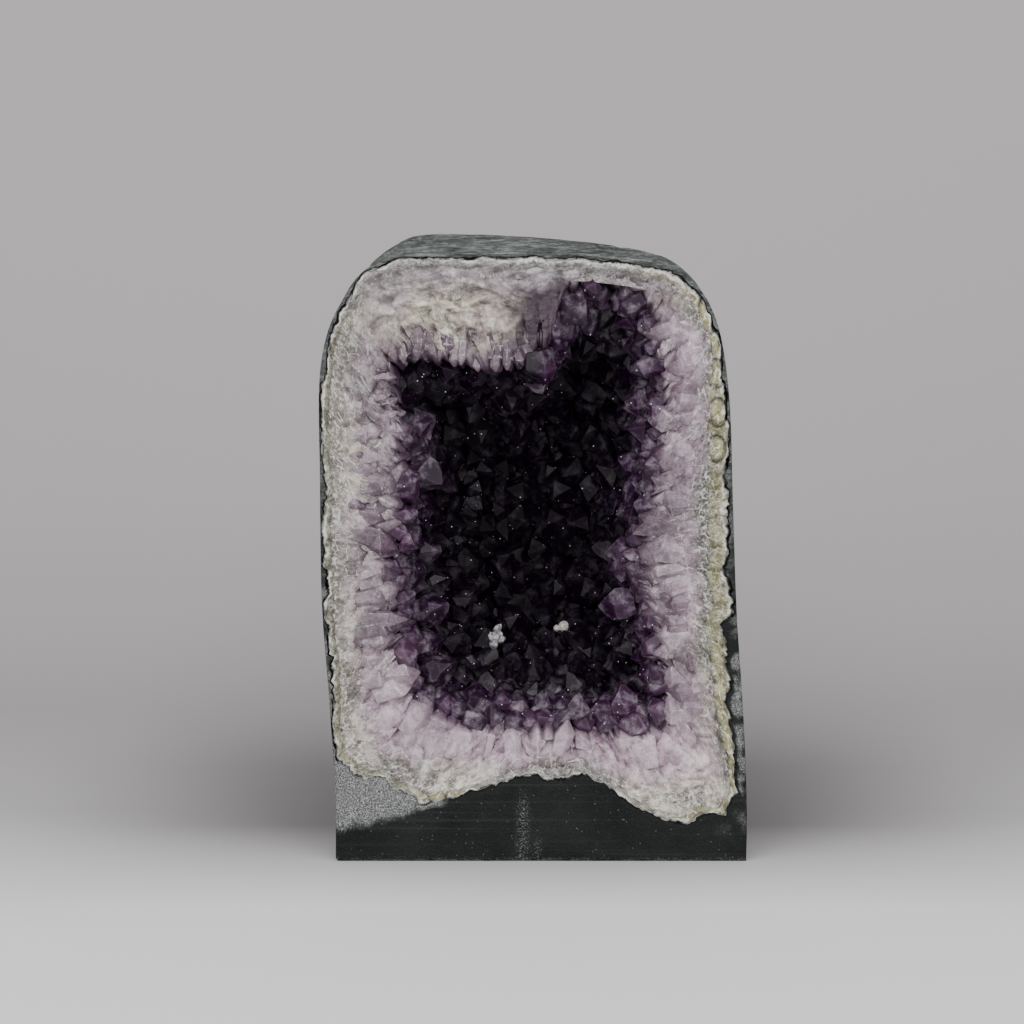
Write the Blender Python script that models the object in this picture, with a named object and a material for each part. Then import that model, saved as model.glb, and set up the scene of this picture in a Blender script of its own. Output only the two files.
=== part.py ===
"""Amethyst geode, opened at the front and sawn flat underneath so that it stands by itself.

The stone is modelled as its own mineral layers, from outside to inside:

* basalt_rind       the host rock, a deep shell with a flat sawn base and a thick foot
* chalcedony_band   the thin cream and yellow skin between rock and quartz
* quartz_lining     the thick pale quartz whose inner face is the wall of the cavity
* amethyst_crystal_NN   the larger crystals that grow from that wall into the cavity
* calcite_grain     a small white cluster that sits low on the amethyst

+Z is up and the open face looks along -Y. The origin is on the floor, under the middle of the stone.
"""

import math
import random

import bmesh
import bpy
import numpy as np
from mathutils import Matrix, Vector
from mathutils.bvhtree import BVHTree

MM = 0.001

# Driving dimensions, in millimetres.
STONE_DEPTH = 132.0
CAVITY_CENTRE = (-2.0, 128.0)  # x and z of the axis that every bowl turns round
CAVITY_DEPTH = 92.0
CAVITY_ROUNDNESS = 2.3
CAVITY_DEEP = (52.0, 76.0)  # half width and half height of the ellipse that the cavity turns into
BAND_DEPTH = 110.0  # depth of the chalcedony's outer face
QUARTZ_DEPTH = 106.0  # depth of the quartz's outer face
LAYER_GAP = 0.4  # clearance between one layer and the next
ANGLE_COUNT = 60  # directions round the opening
BOWL_RINGS = 9  # rings from the front edge of a bowl to its pole

# Outside of the open face, clockwise from the left foot, as (x, z).
FOOT_LEFT = (-86.0, 0.0)
FOOT_RIGHT = (86.0, 0.0)
FACE_OUTLINE = [
    (-86.0, 30.0),
    (-88.4, 70.0),
    (-91.0, 110.0),
    (-91.3, 160.0),
    (-90.8, 205.0),
    (-83.2, 231.0),
    (-65.5, 249.8),
    (-20.0, 252.5),
    (30.0, 251.0),
    (57.5, 244.0),
    (71.0, 227.0),
    (77.0, 195.0),
    (79.0, 150.0),
    (81.0, 105.0),
    (84.0, 65.0),
    (86.0, 25.0),
]

# Inner edge of the basalt on the open face. It is thin at the sides and rises as a hill in the foot.
RIND_INNER = [
    (-83.4, 44.0),
    (-86.6, 75.0),
    (-89.2, 110.0),
    (-89.5, 160.0),
    (-88.9, 204.0),
    (-81.6, 229.8),
    (-64.6, 248.0),
    (-20.0, 250.8),
    (29.5, 249.3),
    (56.2, 242.4),
    (69.2, 226.0),
    (75.0, 194.5),
    (76.8, 150.0),
    (78.8, 105.0),
    (81.5, 65.0),
    (82.5, 22.0),
    (60.0, 17.5),
    (42.0, 22.0),
    (24.0, 34.0),
    (0.0, 36.0),
    (-24.0, 31.0),
    (-46.0, 26.0),
    (-66.0, 34.0),
]

# Edge of the cavity on the open face. A second pocket reaches up behind the right shoulder.
CAVITY_EDGE = [
    (-50.0, 68.0),
    (-56.5, 92.0),
    (-61.0, 126.0),
    (-57.0, 150.0),
    (-56.0, 180.0),
    (-59.5, 207.0),
    (-36.0, 207.0),
    (-14.0, 204.0),
    (2.0, 212.0),
    (10.0, 234.0),
    (26.0, 240.0),
    (41.0, 231.0),
    (47.0, 205.0),
    (48.0, 177.0),
    (42.0, 145.0),
    (38.5, 122.0),
    (46.0, 98.0),
    (50.0, 66.0),
    (44.0, 56.0),
    (0.0, 58.0),
    (-32.0, 60.0),
]

# Chalcedony between rock and quartz, by side: thickest where it turns yellow, on the right.
BAND_LEFT = 4.0
BAND_RIGHT = 8.0

# Outside of the stone behind the open face.
BACK_ROUNDNESS = 2.4  # 2 is an ellipse, and a larger number is boxier
SIDE_SWELL, TOP_SWELL = 0.006, 0.03  # how much the rock grows in x and in z just behind the face
SWELL_DEPTH = 26.0
TOP_LEFT, TOP_RIGHT = (-76.0, -50.0), (50.0, 80.0)  # x between which the top's swell grows and fades
SECTION_DEPTHS = (0.0, 5.0, 14.0, 28.0, 45.0, 62.0, 78.0, 92.0, 104.0, 114.0, 122.0, 127.5, 130.5)
CAP_BULGE = 0.7

# Crystals.
CRYSTAL_COUNT = 54
CRYSTAL_TRIES = 12000
MOUTH_INSET = 1.0  # how far behind the face the rays that find a crystal's place start
CRYSTAL_RADIUS = (4.5, 9.5)  # of the circle round the prism
CRYSTAL_CLEARANCE = 0.5
CRYSTAL_SPACING = 14.0  # between the middles of two roots, so that they spread over the whole wall
ROOT_CLEARANCE = 0.4
ROOT_SHARE = 0.72  # width of a crystal's root, as a share of its prism
MOST_TILT = 0.32  # sideways share of a crystal's direction, from the wall's normal
LENGTH_SHARE = (1.7, 2.5)  # length of a crystal, from its radius
REACH_SHARE = (0.6, 1.1)  # root to tip once it meets the wall, as a share of that length
FACE_SETBACK = 3.0  # no crystal comes nearer to the plane of the open face
POINT_SLOPE = math.radians(38.2)  # between a quartz point's face and the crystal's axis
SEED = 7

# The calcite: balls of (radius, x and z from the first ball's middle), seen from the open face.
CALCITE_SPOT = (11.0, 88.0)  # x and z on the open face of the straight line in to it
CALCITE_BALLS = ((2.6, 0.0, 0.0), (1.6, -3.2, -0.8), (1.7, 2.3, -2.0), (1.1, 3.9, -2.6))
CALCITE_STEP = 0.1  # it is brought forward by this much at a time until it is clear


def rgb(red, green, blue):
    return (red, green, blue, 1.0)


def material(name, colour, roughness):
    """One Principled finish: colour, roughness, and no metal."""
    made = bpy.data.materials.new(name)
    made.use_nodes = True
    shader = made.node_tree.nodes["Principled BSDF"]
    shader.inputs["Base Color"].default_value = colour
    shader.inputs["Roughness"].default_value = roughness
    shader.inputs["Metallic"].default_value = 0.0
    made.diffuse_color = colour
    return made


def smooth_closed_curve(points, steps=16):
    """A Catmull-Rom curve through the points and back to the first, as an array of (x, z)."""
    points = np.array(points, float)
    before, after, beyond = (np.roll(points, shift, axis=0) for shift in (1, -1, -2))
    t = np.linspace(0, 1, steps, endpoint=False)[None, :, None]
    a, b, c, d = (p[:, None, :] for p in (before, points, after, beyond))
    curve = 0.5 * (
        2 * b
        + (c - a) * t
        + (2 * a - 5 * b + 4 * c - d) * t**2
        + (3 * b - a - 3 * c + d) * t**3
    )
    return curve.reshape(-1, 2)


def arch_curve(steps=16):
    """The face's outline: a smooth arch that stands on a straight base with two sharp corners."""
    below_left = (FOOT_LEFT[0], -30.0)
    below_right = (FOOT_RIGHT[0], -30.0)
    loop = smooth_closed_curve([below_left, FOOT_LEFT, *FACE_OUTLINE, FOOT_RIGHT, below_right], steps)
    arch = loop[steps : -2 * steps + 1]
    base = np.linspace(FOOT_RIGHT, FOOT_LEFT, 4 * steps)[1:-1]
    return np.concatenate([arch, base])


def radii(curve, angles):
    """Distance from the cavity's axis to a closed curve, in each direction."""
    offset = curve - np.array(CAVITY_CENTRE)
    angle = np.arctan2(offset[:, 1], offset[:, 0]) % (2 * math.pi)
    order = np.argsort(angle)
    return np.interp(angles, angle[order], np.hypot(*offset.T)[order], period=2 * math.pi)


def directions():
    """The directions round the opening. They include the two corners of the foot."""
    angles = np.linspace(0, 2 * math.pi, ANGLE_COUNT, endpoint=False)
    for corner in (FOOT_LEFT, FOOT_RIGHT):
        x, z = np.array(corner) - np.array(CAVITY_CENTRE)
        wanted = math.atan2(z, x) % (2 * math.pi)
        angles[np.argmin(np.abs(angles - wanted))] = wanted
    return angles


def ring_points(angles, radius, depth):
    """One ring of (x, y, z) at a depth behind the face."""
    x = CAVITY_CENTRE[0] + radius * np.cos(angles)
    z = CAVITY_CENTRE[1] + radius * np.sin(angles)
    return np.column_stack([x, np.full_like(x, depth), z])


def ellipse_radii(angles, half_width, half_height):
    """Distance from the cavity's axis to an ellipse round it, in each direction."""
    return 1 / np.hypot(np.cos(angles) / half_width, np.sin(angles) / half_height)


def bowl(angles, mouth, depth, roundness=2.0, deep=None):
    """Rings of a bowl whose mouth is the face and whose pole is at the given depth, then the pole.

    With deep, the outline turns from the mouth's into that one as the bowl goes back.
    """
    latitudes = np.linspace(0, math.pi / 2, BOWL_RINGS + 1)[:-1]
    rings = []
    for latitude in latitudes:
        back = 0.0 if deep is None else math.sin(latitude) ** 1.5
        radius = mouth * (1 - back) + (mouth if deep is None else deep) * back
        across = math.cos(latitude) ** (2 / roundness)
        rings.append(ring_points(angles, radius * across, depth * math.sin(latitude) ** (2 / roundness)))
    return rings, np.array([CAVITY_CENTRE[0], depth, CAVITY_CENTRE[1]])


def smooth_step(low, high, value):
    """0 below low, 1 above high, and 3t^2 - 2t^3 between."""
    t = np.clip((value - low) / (high - low), 0, 1)
    return t * t * (3 - 2 * t)


def top_swell(x):
    """The swell of the top: full in the middle, and none at the two shoulders."""
    return TOP_SWELL * smooth_step(*TOP_LEFT, x) * (1 - smooth_step(*TOP_RIGHT, x))


def section_size(depth, swell):
    """Size of the stone's outside at a depth, as a share of the face: a swell, then a rounded back."""
    grown = 1 + swell * math.sin(math.pi / 2 * min(depth / SWELL_DEPTH, 1.0))
    return grown * (1 - (depth / STONE_DEPTH) ** BACK_ROUNDNESS) ** (1 / BACK_ROUNDNESS)


def lumps(angles, depth):
    """Gentle bumps of a weathered rock, as a share of its size. They fade out at the sawn face."""
    fade = min(depth / 30.0, 1.0)
    wave = 0.5 * np.sin(3 * angles + depth / 21.0) + 0.3 * np.sin(5 * angles - depth / 14.0 + 1.3)
    return 0.02 * fade * (wave + 0.3 * math.sin(depth / 17.0))


def outside(angles):
    """Rings of the stone's outside. Each is the face's outline scaled about the middle of its foot."""
    face = ring_points(angles, radii(arch_curve(), angles), 0.0)
    rings = []
    for depth in SECTION_DEPTHS:
        lumpy = 1 + lumps(angles, depth)
        width = section_size(depth, SIDE_SWELL) * lumpy
        height = section_size(depth, top_swell(face[:, 0])) * lumpy
        ring = face * np.column_stack([width, np.ones_like(width), height])
        ring[:, 1] = depth
        ring[:, 2] = np.where(face[:, 2] < 0.01, 0.0, ring[:, 2])
        rings.append(ring)
    last = rings[-1]
    pole = np.array([last[:, 0].mean(), SECTION_DEPTHS[-1] + CAP_BULGE, last[:, 2].mean()])
    return rings, pole


def shell_mesh(name, outer, inner, offset):
    """A closed shell: outer rings and pole, inner rings and pole, and the flat face between them."""
    (outer_rings, outer_pole), (inner_rings, inner_pole) = outer, inner
    build = bmesh.new()

    def add_surface(rings, pole, outwards):
        rows = [[build.verts.new(Vector(p - offset) * MM) for p in ring] for ring in rings]
        tip = build.verts.new(Vector(pole - offset) * MM)
        for row, following in zip(rows, rows[1:]):
            for i in range(len(row)):
                j = (i + 1) % len(row)
                quad = (row[i], following[i], following[j], row[j])
                build.faces.new(quad if outwards else quad[::-1])
        last = rows[-1]
        for i in range(len(last)):
            triangle = (last[i], tip, last[(i + 1) % len(last)])
            build.faces.new(triangle if outwards else triangle[::-1])
        return rows[0]

    outer_rim = add_surface(outer_rings, outer_pole, True)
    inner_rim = add_surface(inner_rings, inner_pole, False)
    for i in range(len(outer_rim)):
        j = (i + 1) % len(outer_rim)
        build.faces.new((outer_rim[i], outer_rim[j], inner_rim[j], inner_rim[i]))
    bmesh.ops.recalc_face_normals(build, faces=build.faces)
    mesh = bpy.data.meshes.new(name)
    build.to_mesh(mesh)
    build.free()
    return mesh


def add_object(name, mesh, finish, parent):
    made = bpy.data.objects.new(name, mesh)
    made.data.materials.append(finish)
    made.parent = parent
    bpy.context.scene.collection.objects.link(made)
    return made


def band_thickness(angles):
    """Thickness of the chalcedony: it grows smoothly from the left side to the right."""
    share = 0.5 + 0.5 * np.cos(angles)
    return BAND_LEFT + (BAND_RIGHT - BAND_LEFT) * share**2


def crystal_mesh(name, radius, length, chance):
    """A quartz crystal along +Z from its root at the origin: an uneven six-sided prism with a point.

    The prism is cut by six planes that lean in at the quartz angle. Three of them, taken in turn,
    sit a little lower, which gives the point its larger and smaller faces. The root narrows.
    """
    build = bmesh.new()
    corners = []
    for k in range(6):
        angle = math.radians(60 * k) + chance.uniform(-0.1, 0.1)
        reach = radius * chance.uniform(0.86, 1.0)
        corners.append((reach * math.cos(angle), reach * math.sin(angle)))
    root_length = 0.22 * length
    levels = ((0.0, ROOT_SHARE), (root_length, 1.0), (length * 1.2, 0.98))
    rows = [[build.verts.new((x * s, y * s, z)) for x, y in corners] for z, s in levels]
    build.faces.new(rows[0][::-1])
    build.faces.new(rows[-1])
    for lower, upper in zip(rows, rows[1:]):
        for i in range(6):
            j = (i + 1) % 6
            build.faces.new((lower[i], lower[j], upper[j], upper[i]))
    for k in range(6):
        angle = math.radians(60 * k + 30)
        normal = Vector(
            (
                math.cos(POINT_SLOPE) * math.cos(angle),
                math.cos(POINT_SLOPE) * math.sin(angle),
                math.sin(POINT_SLOPE),
            )
        )
        setback = chance.uniform(0.0, 0.1) + (0.12 if k % 2 else 0.0)
        through = Vector((0.0, 0.0, length)) - normal * radius * setback
        geometry = build.verts[:] + build.edges[:] + build.faces[:]
        cut = bmesh.ops.bisect_plane(
            build, geom=geometry, dist=radius * 1e-4, plane_co=through, plane_no=normal, clear_outer=True
        )
        edges = [e for e in cut["geom_cut"] if isinstance(e, bmesh.types.BMEdge)]
        bmesh.ops.contextual_create(build, geom=edges)
    bmesh.ops.remove_doubles(build, verts=build.verts, dist=radius * 0.01)
    bmesh.ops.triangulate(build, faces=build.faces)
    bmesh.ops.recalc_face_normals(build, faces=build.faces)
    mesh = bpy.data.meshes.new(name)
    build.to_mesh(mesh)
    build.free()
    return mesh


def segments_apart(first, second):
    """Shortest distance between two segments, each (start, end), from points spaced along both."""
    share = np.linspace(0, 1, 9)[:, None]
    lines = [np.array(a) + (np.array(b) - np.array(a)) * share for a, b in (first, second)]
    return np.min(np.linalg.norm(lines[0][:, None] - lines[1][None], axis=2))


def lookup(objects):
    """A lookup, in world space, of the nearest surface of some mesh objects."""
    points, faces = [], []
    for obj in objects:
        faces += [[len(points) + v for v in p.vertices] for p in obj.data.polygons]
        points += [obj.matrix_world @ v.co for v in obj.data.vertices]
    return BVHTree.FromPolygons(points, faces)


def root_distance(tree, tip, axis, radius, length):
    """How far behind a crystal's tip its root can start, clear of the wall at its middle and round it."""
    across = axis.orthogonal().normalized()
    beside = axis.cross(across)
    middle = tip - axis * length * 0.5
    starts = [middle]
    for k in range(8):
        angle = math.radians(45 * k)
        starts.append(middle + (across * math.cos(angle) + beside * math.sin(angle)) * radius * ROOT_SHARE)
    hits = [tree.ray_cast(start, -axis)[3] for start in starts]
    if None in hits:
        return None
    return length * 0.5 + min(hits) - ROOT_CLEARANCE * MM


def clear_of_wall(tree, mesh, place):
    """True if the mesh, put at that place, neither cuts the wall nor comes nearer than the clearance."""
    points = [place @ v.co for v in mesh.vertices]
    faces = [p.vertices for p in mesh.polygons]
    if tree.overlap(BVHTree.FromPolygons(points, faces)):
        return False
    return all(tree.find_nearest(p)[3] > 0.6 * ROOT_CLEARANCE * MM for p in points)


def possible_crystal(chance, attempt, tree, middle):
    """A crystal that could grow where a ray from the middle of the mouth meets the wall, or None.

    It is (root, tip, radius, spin). The radius tends to the largest in the first attempts.
    """
    smallest, largest = CRYSTAL_RADIUS
    share = chance.random() ** (0.5 + 3.0 * attempt / CRYSTAL_TRIES)
    radius = MM * (smallest + (largest - smallest) * share)
    length = radius * chance.uniform(*LENGTH_SHARE)
    turn = chance.uniform(0, 2 * math.pi)
    lean = math.asin(chance.random())
    tilt = Vector([chance.uniform(-MOST_TILT, MOST_TILT) for _ in range(3)])
    spin = chance.uniform(0, math.pi / 3)
    ray = Vector((math.cos(turn) * math.cos(lean), math.sin(lean), math.sin(turn) * math.cos(lean)))
    spot, normal, _, _ = tree.ray_cast(middle, ray)
    if spot is None:
        return None
    inward = normal if normal.dot(ray) < 0 else -normal
    axis = (inward + tilt).normalized()
    tip = spot + axis * length
    reach = root_distance(tree, tip, axis, radius, length)
    if reach is None or not REACH_SHARE[0] * length < reach < REACH_SHARE[1] * length:
        return None
    return tip - axis * reach, tip, radius, spin


def has_room(root, tip, radius, front, placed):
    """True if a crystal stays behind the face, spread out from the others and clear of them."""
    if min(root.y, tip.y) - radius < front + FACE_SETBACK * MM:
        return False
    for other_root, other_tip, other_radius in placed:
        if (root - other_root).length < CRYSTAL_SPACING * MM:
            return False
        clear = radius + other_radius + CRYSTAL_CLEARANCE * MM
        if segments_apart((root, tip), (other_root, other_tip)) < clear:
            return False
    return True


def sow_crystals(wall, middle, parent, finish):
    """Grows crystals from the wall, the larger first, wherever one fits clear of the others."""
    chance = random.Random(SEED)
    tree = lookup([wall])
    placed = []
    for attempt in range(CRYSTAL_TRIES):
        if len(placed) == CRYSTAL_COUNT:
            break
        found = possible_crystal(chance, attempt, tree, middle)
        if found is None:
            continue
        root, tip, radius, spin = found
        if not has_room(root, tip, radius, middle.y, placed):
            continue
        name = f"amethyst_crystal_{len(placed) + 1:02d}"
        mesh = crystal_mesh(name, radius, (tip - root).length, chance)
        turned = (tip - root).to_track_quat("Z", "Y").to_matrix().to_4x4()
        place = Matrix.Translation(root) @ turned @ Matrix.Rotation(spin, 4, "Z")
        if not clear_of_wall(tree, mesh, place):
            bpy.data.meshes.remove(mesh)
            continue
        add_object(name, mesh, finish, parent).matrix_local = place
        placed.append((root, tip, radius))
    return placed


def calcite_grain(offset, parent, finish):
    """A few white balls grown into one, on whatever a line straight in from the open face meets first."""
    bpy.context.view_layer.update()
    tree = lookup([obj for obj in bpy.context.scene.objects if obj.type == "MESH"])
    start = Vector((CALCITE_SPOT[0] - offset[0], -offset[1], CALCITE_SPOT[1])) * MM
    spot = tree.ray_cast(start, Vector((0.0, 1.0, 0.0)))[0]
    middles = [(radius * MM, spot + Vector((x, 0.0, z)) * MM) for radius, x, z in CALCITE_BALLS]
    while any(tree.find_nearest(middle)[3] < radius + ROOT_CLEARANCE * MM for radius, middle in middles):
        for _, middle in middles:
            middle.y -= CALCITE_STEP * MM
    balls = []
    for number, (radius, middle) in enumerate(middles):
        build = bmesh.new()
        bmesh.ops.create_icosphere(build, subdivisions=2, radius=radius)
        mesh = bpy.data.meshes.new("calcite_ball")
        build.to_mesh(mesh)
        build.free()
        balls.append(add_object(f"calcite_ball_{number}", mesh, finish, parent))
        balls[-1].location = middle
    balls[0].name = "calcite_grain"
    for ball in balls[1:]:
        ball.hide_render = True
        ball.display_type = "WIRE"
        join = balls[0].modifiers.new(ball.name, "BOOLEAN")
        join.operation = "UNION"
        join.object = ball


def clear_scene():
    for old in list(bpy.data.objects):
        bpy.data.objects.remove(old)


def main():
    clear_scene()
    basalt = material("basalt", rgb(0.035, 0.045, 0.042), 0.7)
    chalcedony = material("chalcedony", rgb(0.52, 0.5, 0.36), 0.55)
    quartz = material("quartz", rgb(0.5, 0.42, 0.5), 0.3)
    amethyst = material("amethyst", rgb(0.06, 0.02, 0.09), 0.1)
    calcite = material("calcite", rgb(0.8, 0.8, 0.78), 0.4)

    angles = directions()
    rock = outside(angles)
    everything = np.concatenate([*rock[0], rock[1][None]])
    low, high = everything.min(axis=0), everything.max(axis=0)
    offset = np.array([(low[0] + high[0]) / 2, (low[1] + high[1]) / 2, 0.0])

    rind_radius = radii(smooth_closed_curve(RIND_INNER), angles)
    band_outer = rind_radius - LAYER_GAP
    band_inner = band_outer - band_thickness(angles)
    quartz_outer = band_inner - LAYER_GAP
    cavity_radius = radii(smooth_closed_curve(CAVITY_EDGE), angles)

    stone = bpy.data.objects.new("stone", None)
    bpy.context.scene.collection.objects.link(stone)

    rind_inside = bowl(angles, rind_radius, BAND_DEPTH + LAYER_GAP)
    band_outside = bowl(angles, band_outer, BAND_DEPTH)
    band_inside = bowl(angles, band_inner, QUARTZ_DEPTH + LAYER_GAP)
    quartz_outside = bowl(angles, quartz_outer, QUARTZ_DEPTH)
    cavity_deep = ellipse_radii(angles, *CAVITY_DEEP)
    cavity = bowl(angles, cavity_radius, CAVITY_DEPTH, CAVITY_ROUNDNESS, cavity_deep)

    layers = [
        ("basalt_rind", rock, rind_inside, basalt),
        ("chalcedony_band", band_outside, band_inside, chalcedony),
        ("quartz_lining", quartz_outside, cavity, quartz),
    ]
    for name, outer, inner, finish in layers:
        add_object(name, shell_mesh(name, outer, inner, offset), finish, stone)

    middle = Vector((CAVITY_CENTRE[0] - offset[0], MOUTH_INSET - offset[1], CAVITY_CENTRE[1])) * MM
    grown = sow_crystals(bpy.data.objects["quartz_lining"], middle, stone, amethyst)
    print(len(grown), "crystals")
    calcite_grain(offset, stone, calcite)


main()
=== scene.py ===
# %% [markdown]
# # An amethyst geode
#
# A geode is a bubble in lava that filled with crystals. This one was opened at the front and sawn flat
# underneath. From outside to inside it is dark basalt, a thin crust of chalcedony, a thick wall of pale
# quartz, and dark purple amethyst points that stand on that wall. The CAD model has these layers as plain
# shells, with 54 large crystals and a grain of calcite. The script keeps the calcite. It builds the layers
# and the large crystals again with finer surfaces, in exactly the same place, and adds smaller crystals.

# %% Load the CAD model as a fixed frame
import math
from functools import partial

import bmesh
import bpy
import numpy as np
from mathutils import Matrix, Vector


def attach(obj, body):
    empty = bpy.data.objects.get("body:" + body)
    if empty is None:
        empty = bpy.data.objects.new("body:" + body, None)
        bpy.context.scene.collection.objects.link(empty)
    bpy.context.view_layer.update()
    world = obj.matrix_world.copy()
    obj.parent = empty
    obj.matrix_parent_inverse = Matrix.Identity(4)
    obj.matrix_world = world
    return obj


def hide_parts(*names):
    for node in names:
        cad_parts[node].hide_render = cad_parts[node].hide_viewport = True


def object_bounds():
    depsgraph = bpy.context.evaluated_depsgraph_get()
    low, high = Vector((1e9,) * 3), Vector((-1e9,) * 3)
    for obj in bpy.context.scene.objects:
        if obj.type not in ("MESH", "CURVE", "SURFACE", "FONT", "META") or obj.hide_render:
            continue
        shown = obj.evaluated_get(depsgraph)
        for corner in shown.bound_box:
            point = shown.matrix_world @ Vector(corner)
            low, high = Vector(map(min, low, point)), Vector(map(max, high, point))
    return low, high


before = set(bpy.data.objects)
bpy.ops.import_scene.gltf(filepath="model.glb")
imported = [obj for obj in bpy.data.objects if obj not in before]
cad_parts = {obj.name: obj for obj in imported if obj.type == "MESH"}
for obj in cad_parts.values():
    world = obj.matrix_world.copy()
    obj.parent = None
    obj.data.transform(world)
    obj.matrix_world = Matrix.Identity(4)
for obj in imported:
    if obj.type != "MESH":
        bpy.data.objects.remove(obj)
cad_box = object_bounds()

MM = 0.001
TURN = 2 * math.pi
front = cad_box[0].y / MM
print(f"CAD box: {[round((b - a) / MM, 1) for a, b in zip(*cad_box)]} mm, open face at y = {front:.1f} mm")

# %% [markdown]
# ## Outlines on the open face
#
# Every layer is a bowl round one axis, so an outline is best kept as a distance from that axis in each
# direction. The outlines are the ones that the CAD model was made from: a few points each, joined by a
# smooth closed curve. Only the outer one is special, because it stands on a straight base.

# %% Outline points, in millimetres, as (x, z)
FOOT_LEFT, FOOT_RIGHT = (-86, 0), (86, 0)
ARCH = [
    (-86, 30), (-88.4, 70), (-91, 110), (-91.3, 160), (-90.8, 205), (-83.2, 231), (-65.5, 249.8),
    (-20, 252.5), (30, 251), (57.5, 244), (71, 227), (77, 195), (79, 150), (81, 105), (84, 65), (86, 25),
]
ROCK_EDGE = [
    (-83.4, 44), (-86.6, 75), (-89.2, 110), (-89.5, 160), (-88.9, 204), (-81.6, 229.8), (-64.6, 248),
    (-20, 250.8), (29.5, 249.3), (56.2, 242.4), (69.2, 226), (75, 194.5), (76.8, 150), (78.8, 105),
    (81.5, 65), (82.5, 22), (60, 17.5), (42, 22), (24, 34), (0, 36), (-24, 31), (-46, 26), (-66, 34),
]
CAVITY_EDGE = [
    (-50, 68), (-56.5, 92), (-61, 126), (-57, 150), (-56, 180), (-59.5, 207), (-36, 207), (-14, 204),
    (2, 212), (10, 234), (26, 240), (41, 231), (47, 205), (48, 177), (42, 145), (38.5, 122), (46, 98),
    (50, 66), (44, 56), (0, 58), (-32, 60),
]
AXIS = np.array([-2.0, 128.0])
LAYER_GAP, BAND_LEFT, BAND_RIGHT = 0.4, 4, 8
rock_vertices = np.array([v.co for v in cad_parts["basalt_rind"].data.vertices]) / MM
foot_line = (rock_vertices[:, 2] < 0.01) & (rock_vertices[:, 1] < front + 0.01)
shift = rock_vertices[foot_line, 0].min() - FOOT_LEFT[0]
print(f"the outlines move by {shift:.2f} mm to lie on the CAD model")


# %% Curves through the points, and their distance from the axis
def circle(count):
    """Directions in equal steps all the way round."""
    return np.linspace(0, TURN, count, endpoint=False)


def smooth_loop(points, steps=16):
    """A Catmull-Rom curve through the points and back to the first: each stretch is a cubic whose ends
    point along the line between the neighbours on either side."""
    points = np.array(points, float)
    a, b, c, d = (np.roll(points, k, axis=0)[:, None, :] for k in (1, 0, -1, -2))
    t = np.linspace(0, 1, steps, endpoint=False)[None, :, None]
    cubic = 2 * b + (c - a) * t + (2 * a - 5 * b + 4 * c - d) * t**2 + (3 * b - a - 3 * c + d) * t**3
    return (cubic / 2).reshape(-1, 2)


def arch_loop(steps=16):
    """The same curve for the outer outline, with a straight base between two sharp corners."""
    below = [(FOOT_LEFT[0], -30), FOOT_LEFT, *ARCH, FOOT_RIGHT, (FOOT_RIGHT[0], -30)]
    arch = smooth_loop(below, steps)[steps : -2 * steps + 1]
    return np.concatenate([arch, np.linspace(FOOT_RIGHT, FOOT_LEFT, 6 * steps)[1:-1]])


def reach(loop, angles):
    """Distance from the axis to a closed curve, in each direction."""
    offset = loop - AXIS
    around = np.arctan2(offset[:, 1], offset[:, 0]) % TURN
    order = np.argsort(around)
    return np.interp(angles % TURN, around[order], np.hypot(*offset.T)[order], period=TURN)


outer_reach, rock_reach, cavity_reach = (
    partial(reach, loop) for loop in (arch_loop(), smooth_loop(ROCK_EDGE), smooth_loop(CAVITY_EDGE))
)


def band_reach(angles):
    """Inner edge of the chalcedony: its thickness grows from the left side to the right."""
    share = (0.5 + 0.5 * np.cos(angles)) ** 2
    return rock_reach(angles) - LAYER_GAP - BAND_LEFT - (BAND_RIGHT - BAND_LEFT) * share


def place(angles, distance, depth):
    """Points from polar coordinates round the axis: (angle, distance, depth behind the open face)."""
    x = AXIS[0] + shift + distance * np.cos(angles)
    z = AXIS[1] + distance * np.sin(angles)
    return np.stack(np.broadcast_arrays(x, front + depth, z), axis=-1)


def outline_xz(points):
    """x and z of points, measured as the outlines are."""
    return points[..., 0] - shift, points[..., 2]


print(f"rock is {outer_reach(0.0) - rock_reach(0.0):.1f} mm thick at the right")

# %% [markdown]
# ## Noise
#
# Nothing on a stone is regular, so most shapes get some noise. Value noise is a lattice of random
# numbers that is blended smoothly between its corners. Several layers of it, each finer and weaker,
# make the usual rocky roughness. Cell noise finds the nearest of many scattered points, and it cuts a
# surface into the polygons that crystals make when they grow side by side.


# %% Value noise
TABLE_SIZE, LATTICE_ROWS = 4096, 64


def value_noise(points, size, seed):
    """Random numbers from -1 to 1 on a cubic lattice, blended with 3t^2 - 2t^3 along each axis."""
    table = np.random.default_rng(seed).uniform(-1, 1, TABLE_SIZE)
    scaled = points / size
    cell = np.floor(scaled).astype(np.int64)
    t = scaled - cell
    t = t * t * (3 - 2 * t)
    total = np.zeros(points.shape[:-1])
    for corner in np.ndindex(2, 2, 2):
        x, y, z = np.moveaxis(cell + corner, -1, 0)
        key = (x * 73856093 ^ y * 19349663 ^ z * 83492791) % TABLE_SIZE
        total += np.prod(np.where(corner, t, 1 - t), axis=-1) * table[key]
    return total


def rocky_noise(points, size, seed, layers=4, fade=0.5):
    """Layers of value noise, each of half the size and a fading strength."""
    return sum(fade**k * value_noise(points, size / 2**k, seed + k) for k in range(layers))


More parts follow.
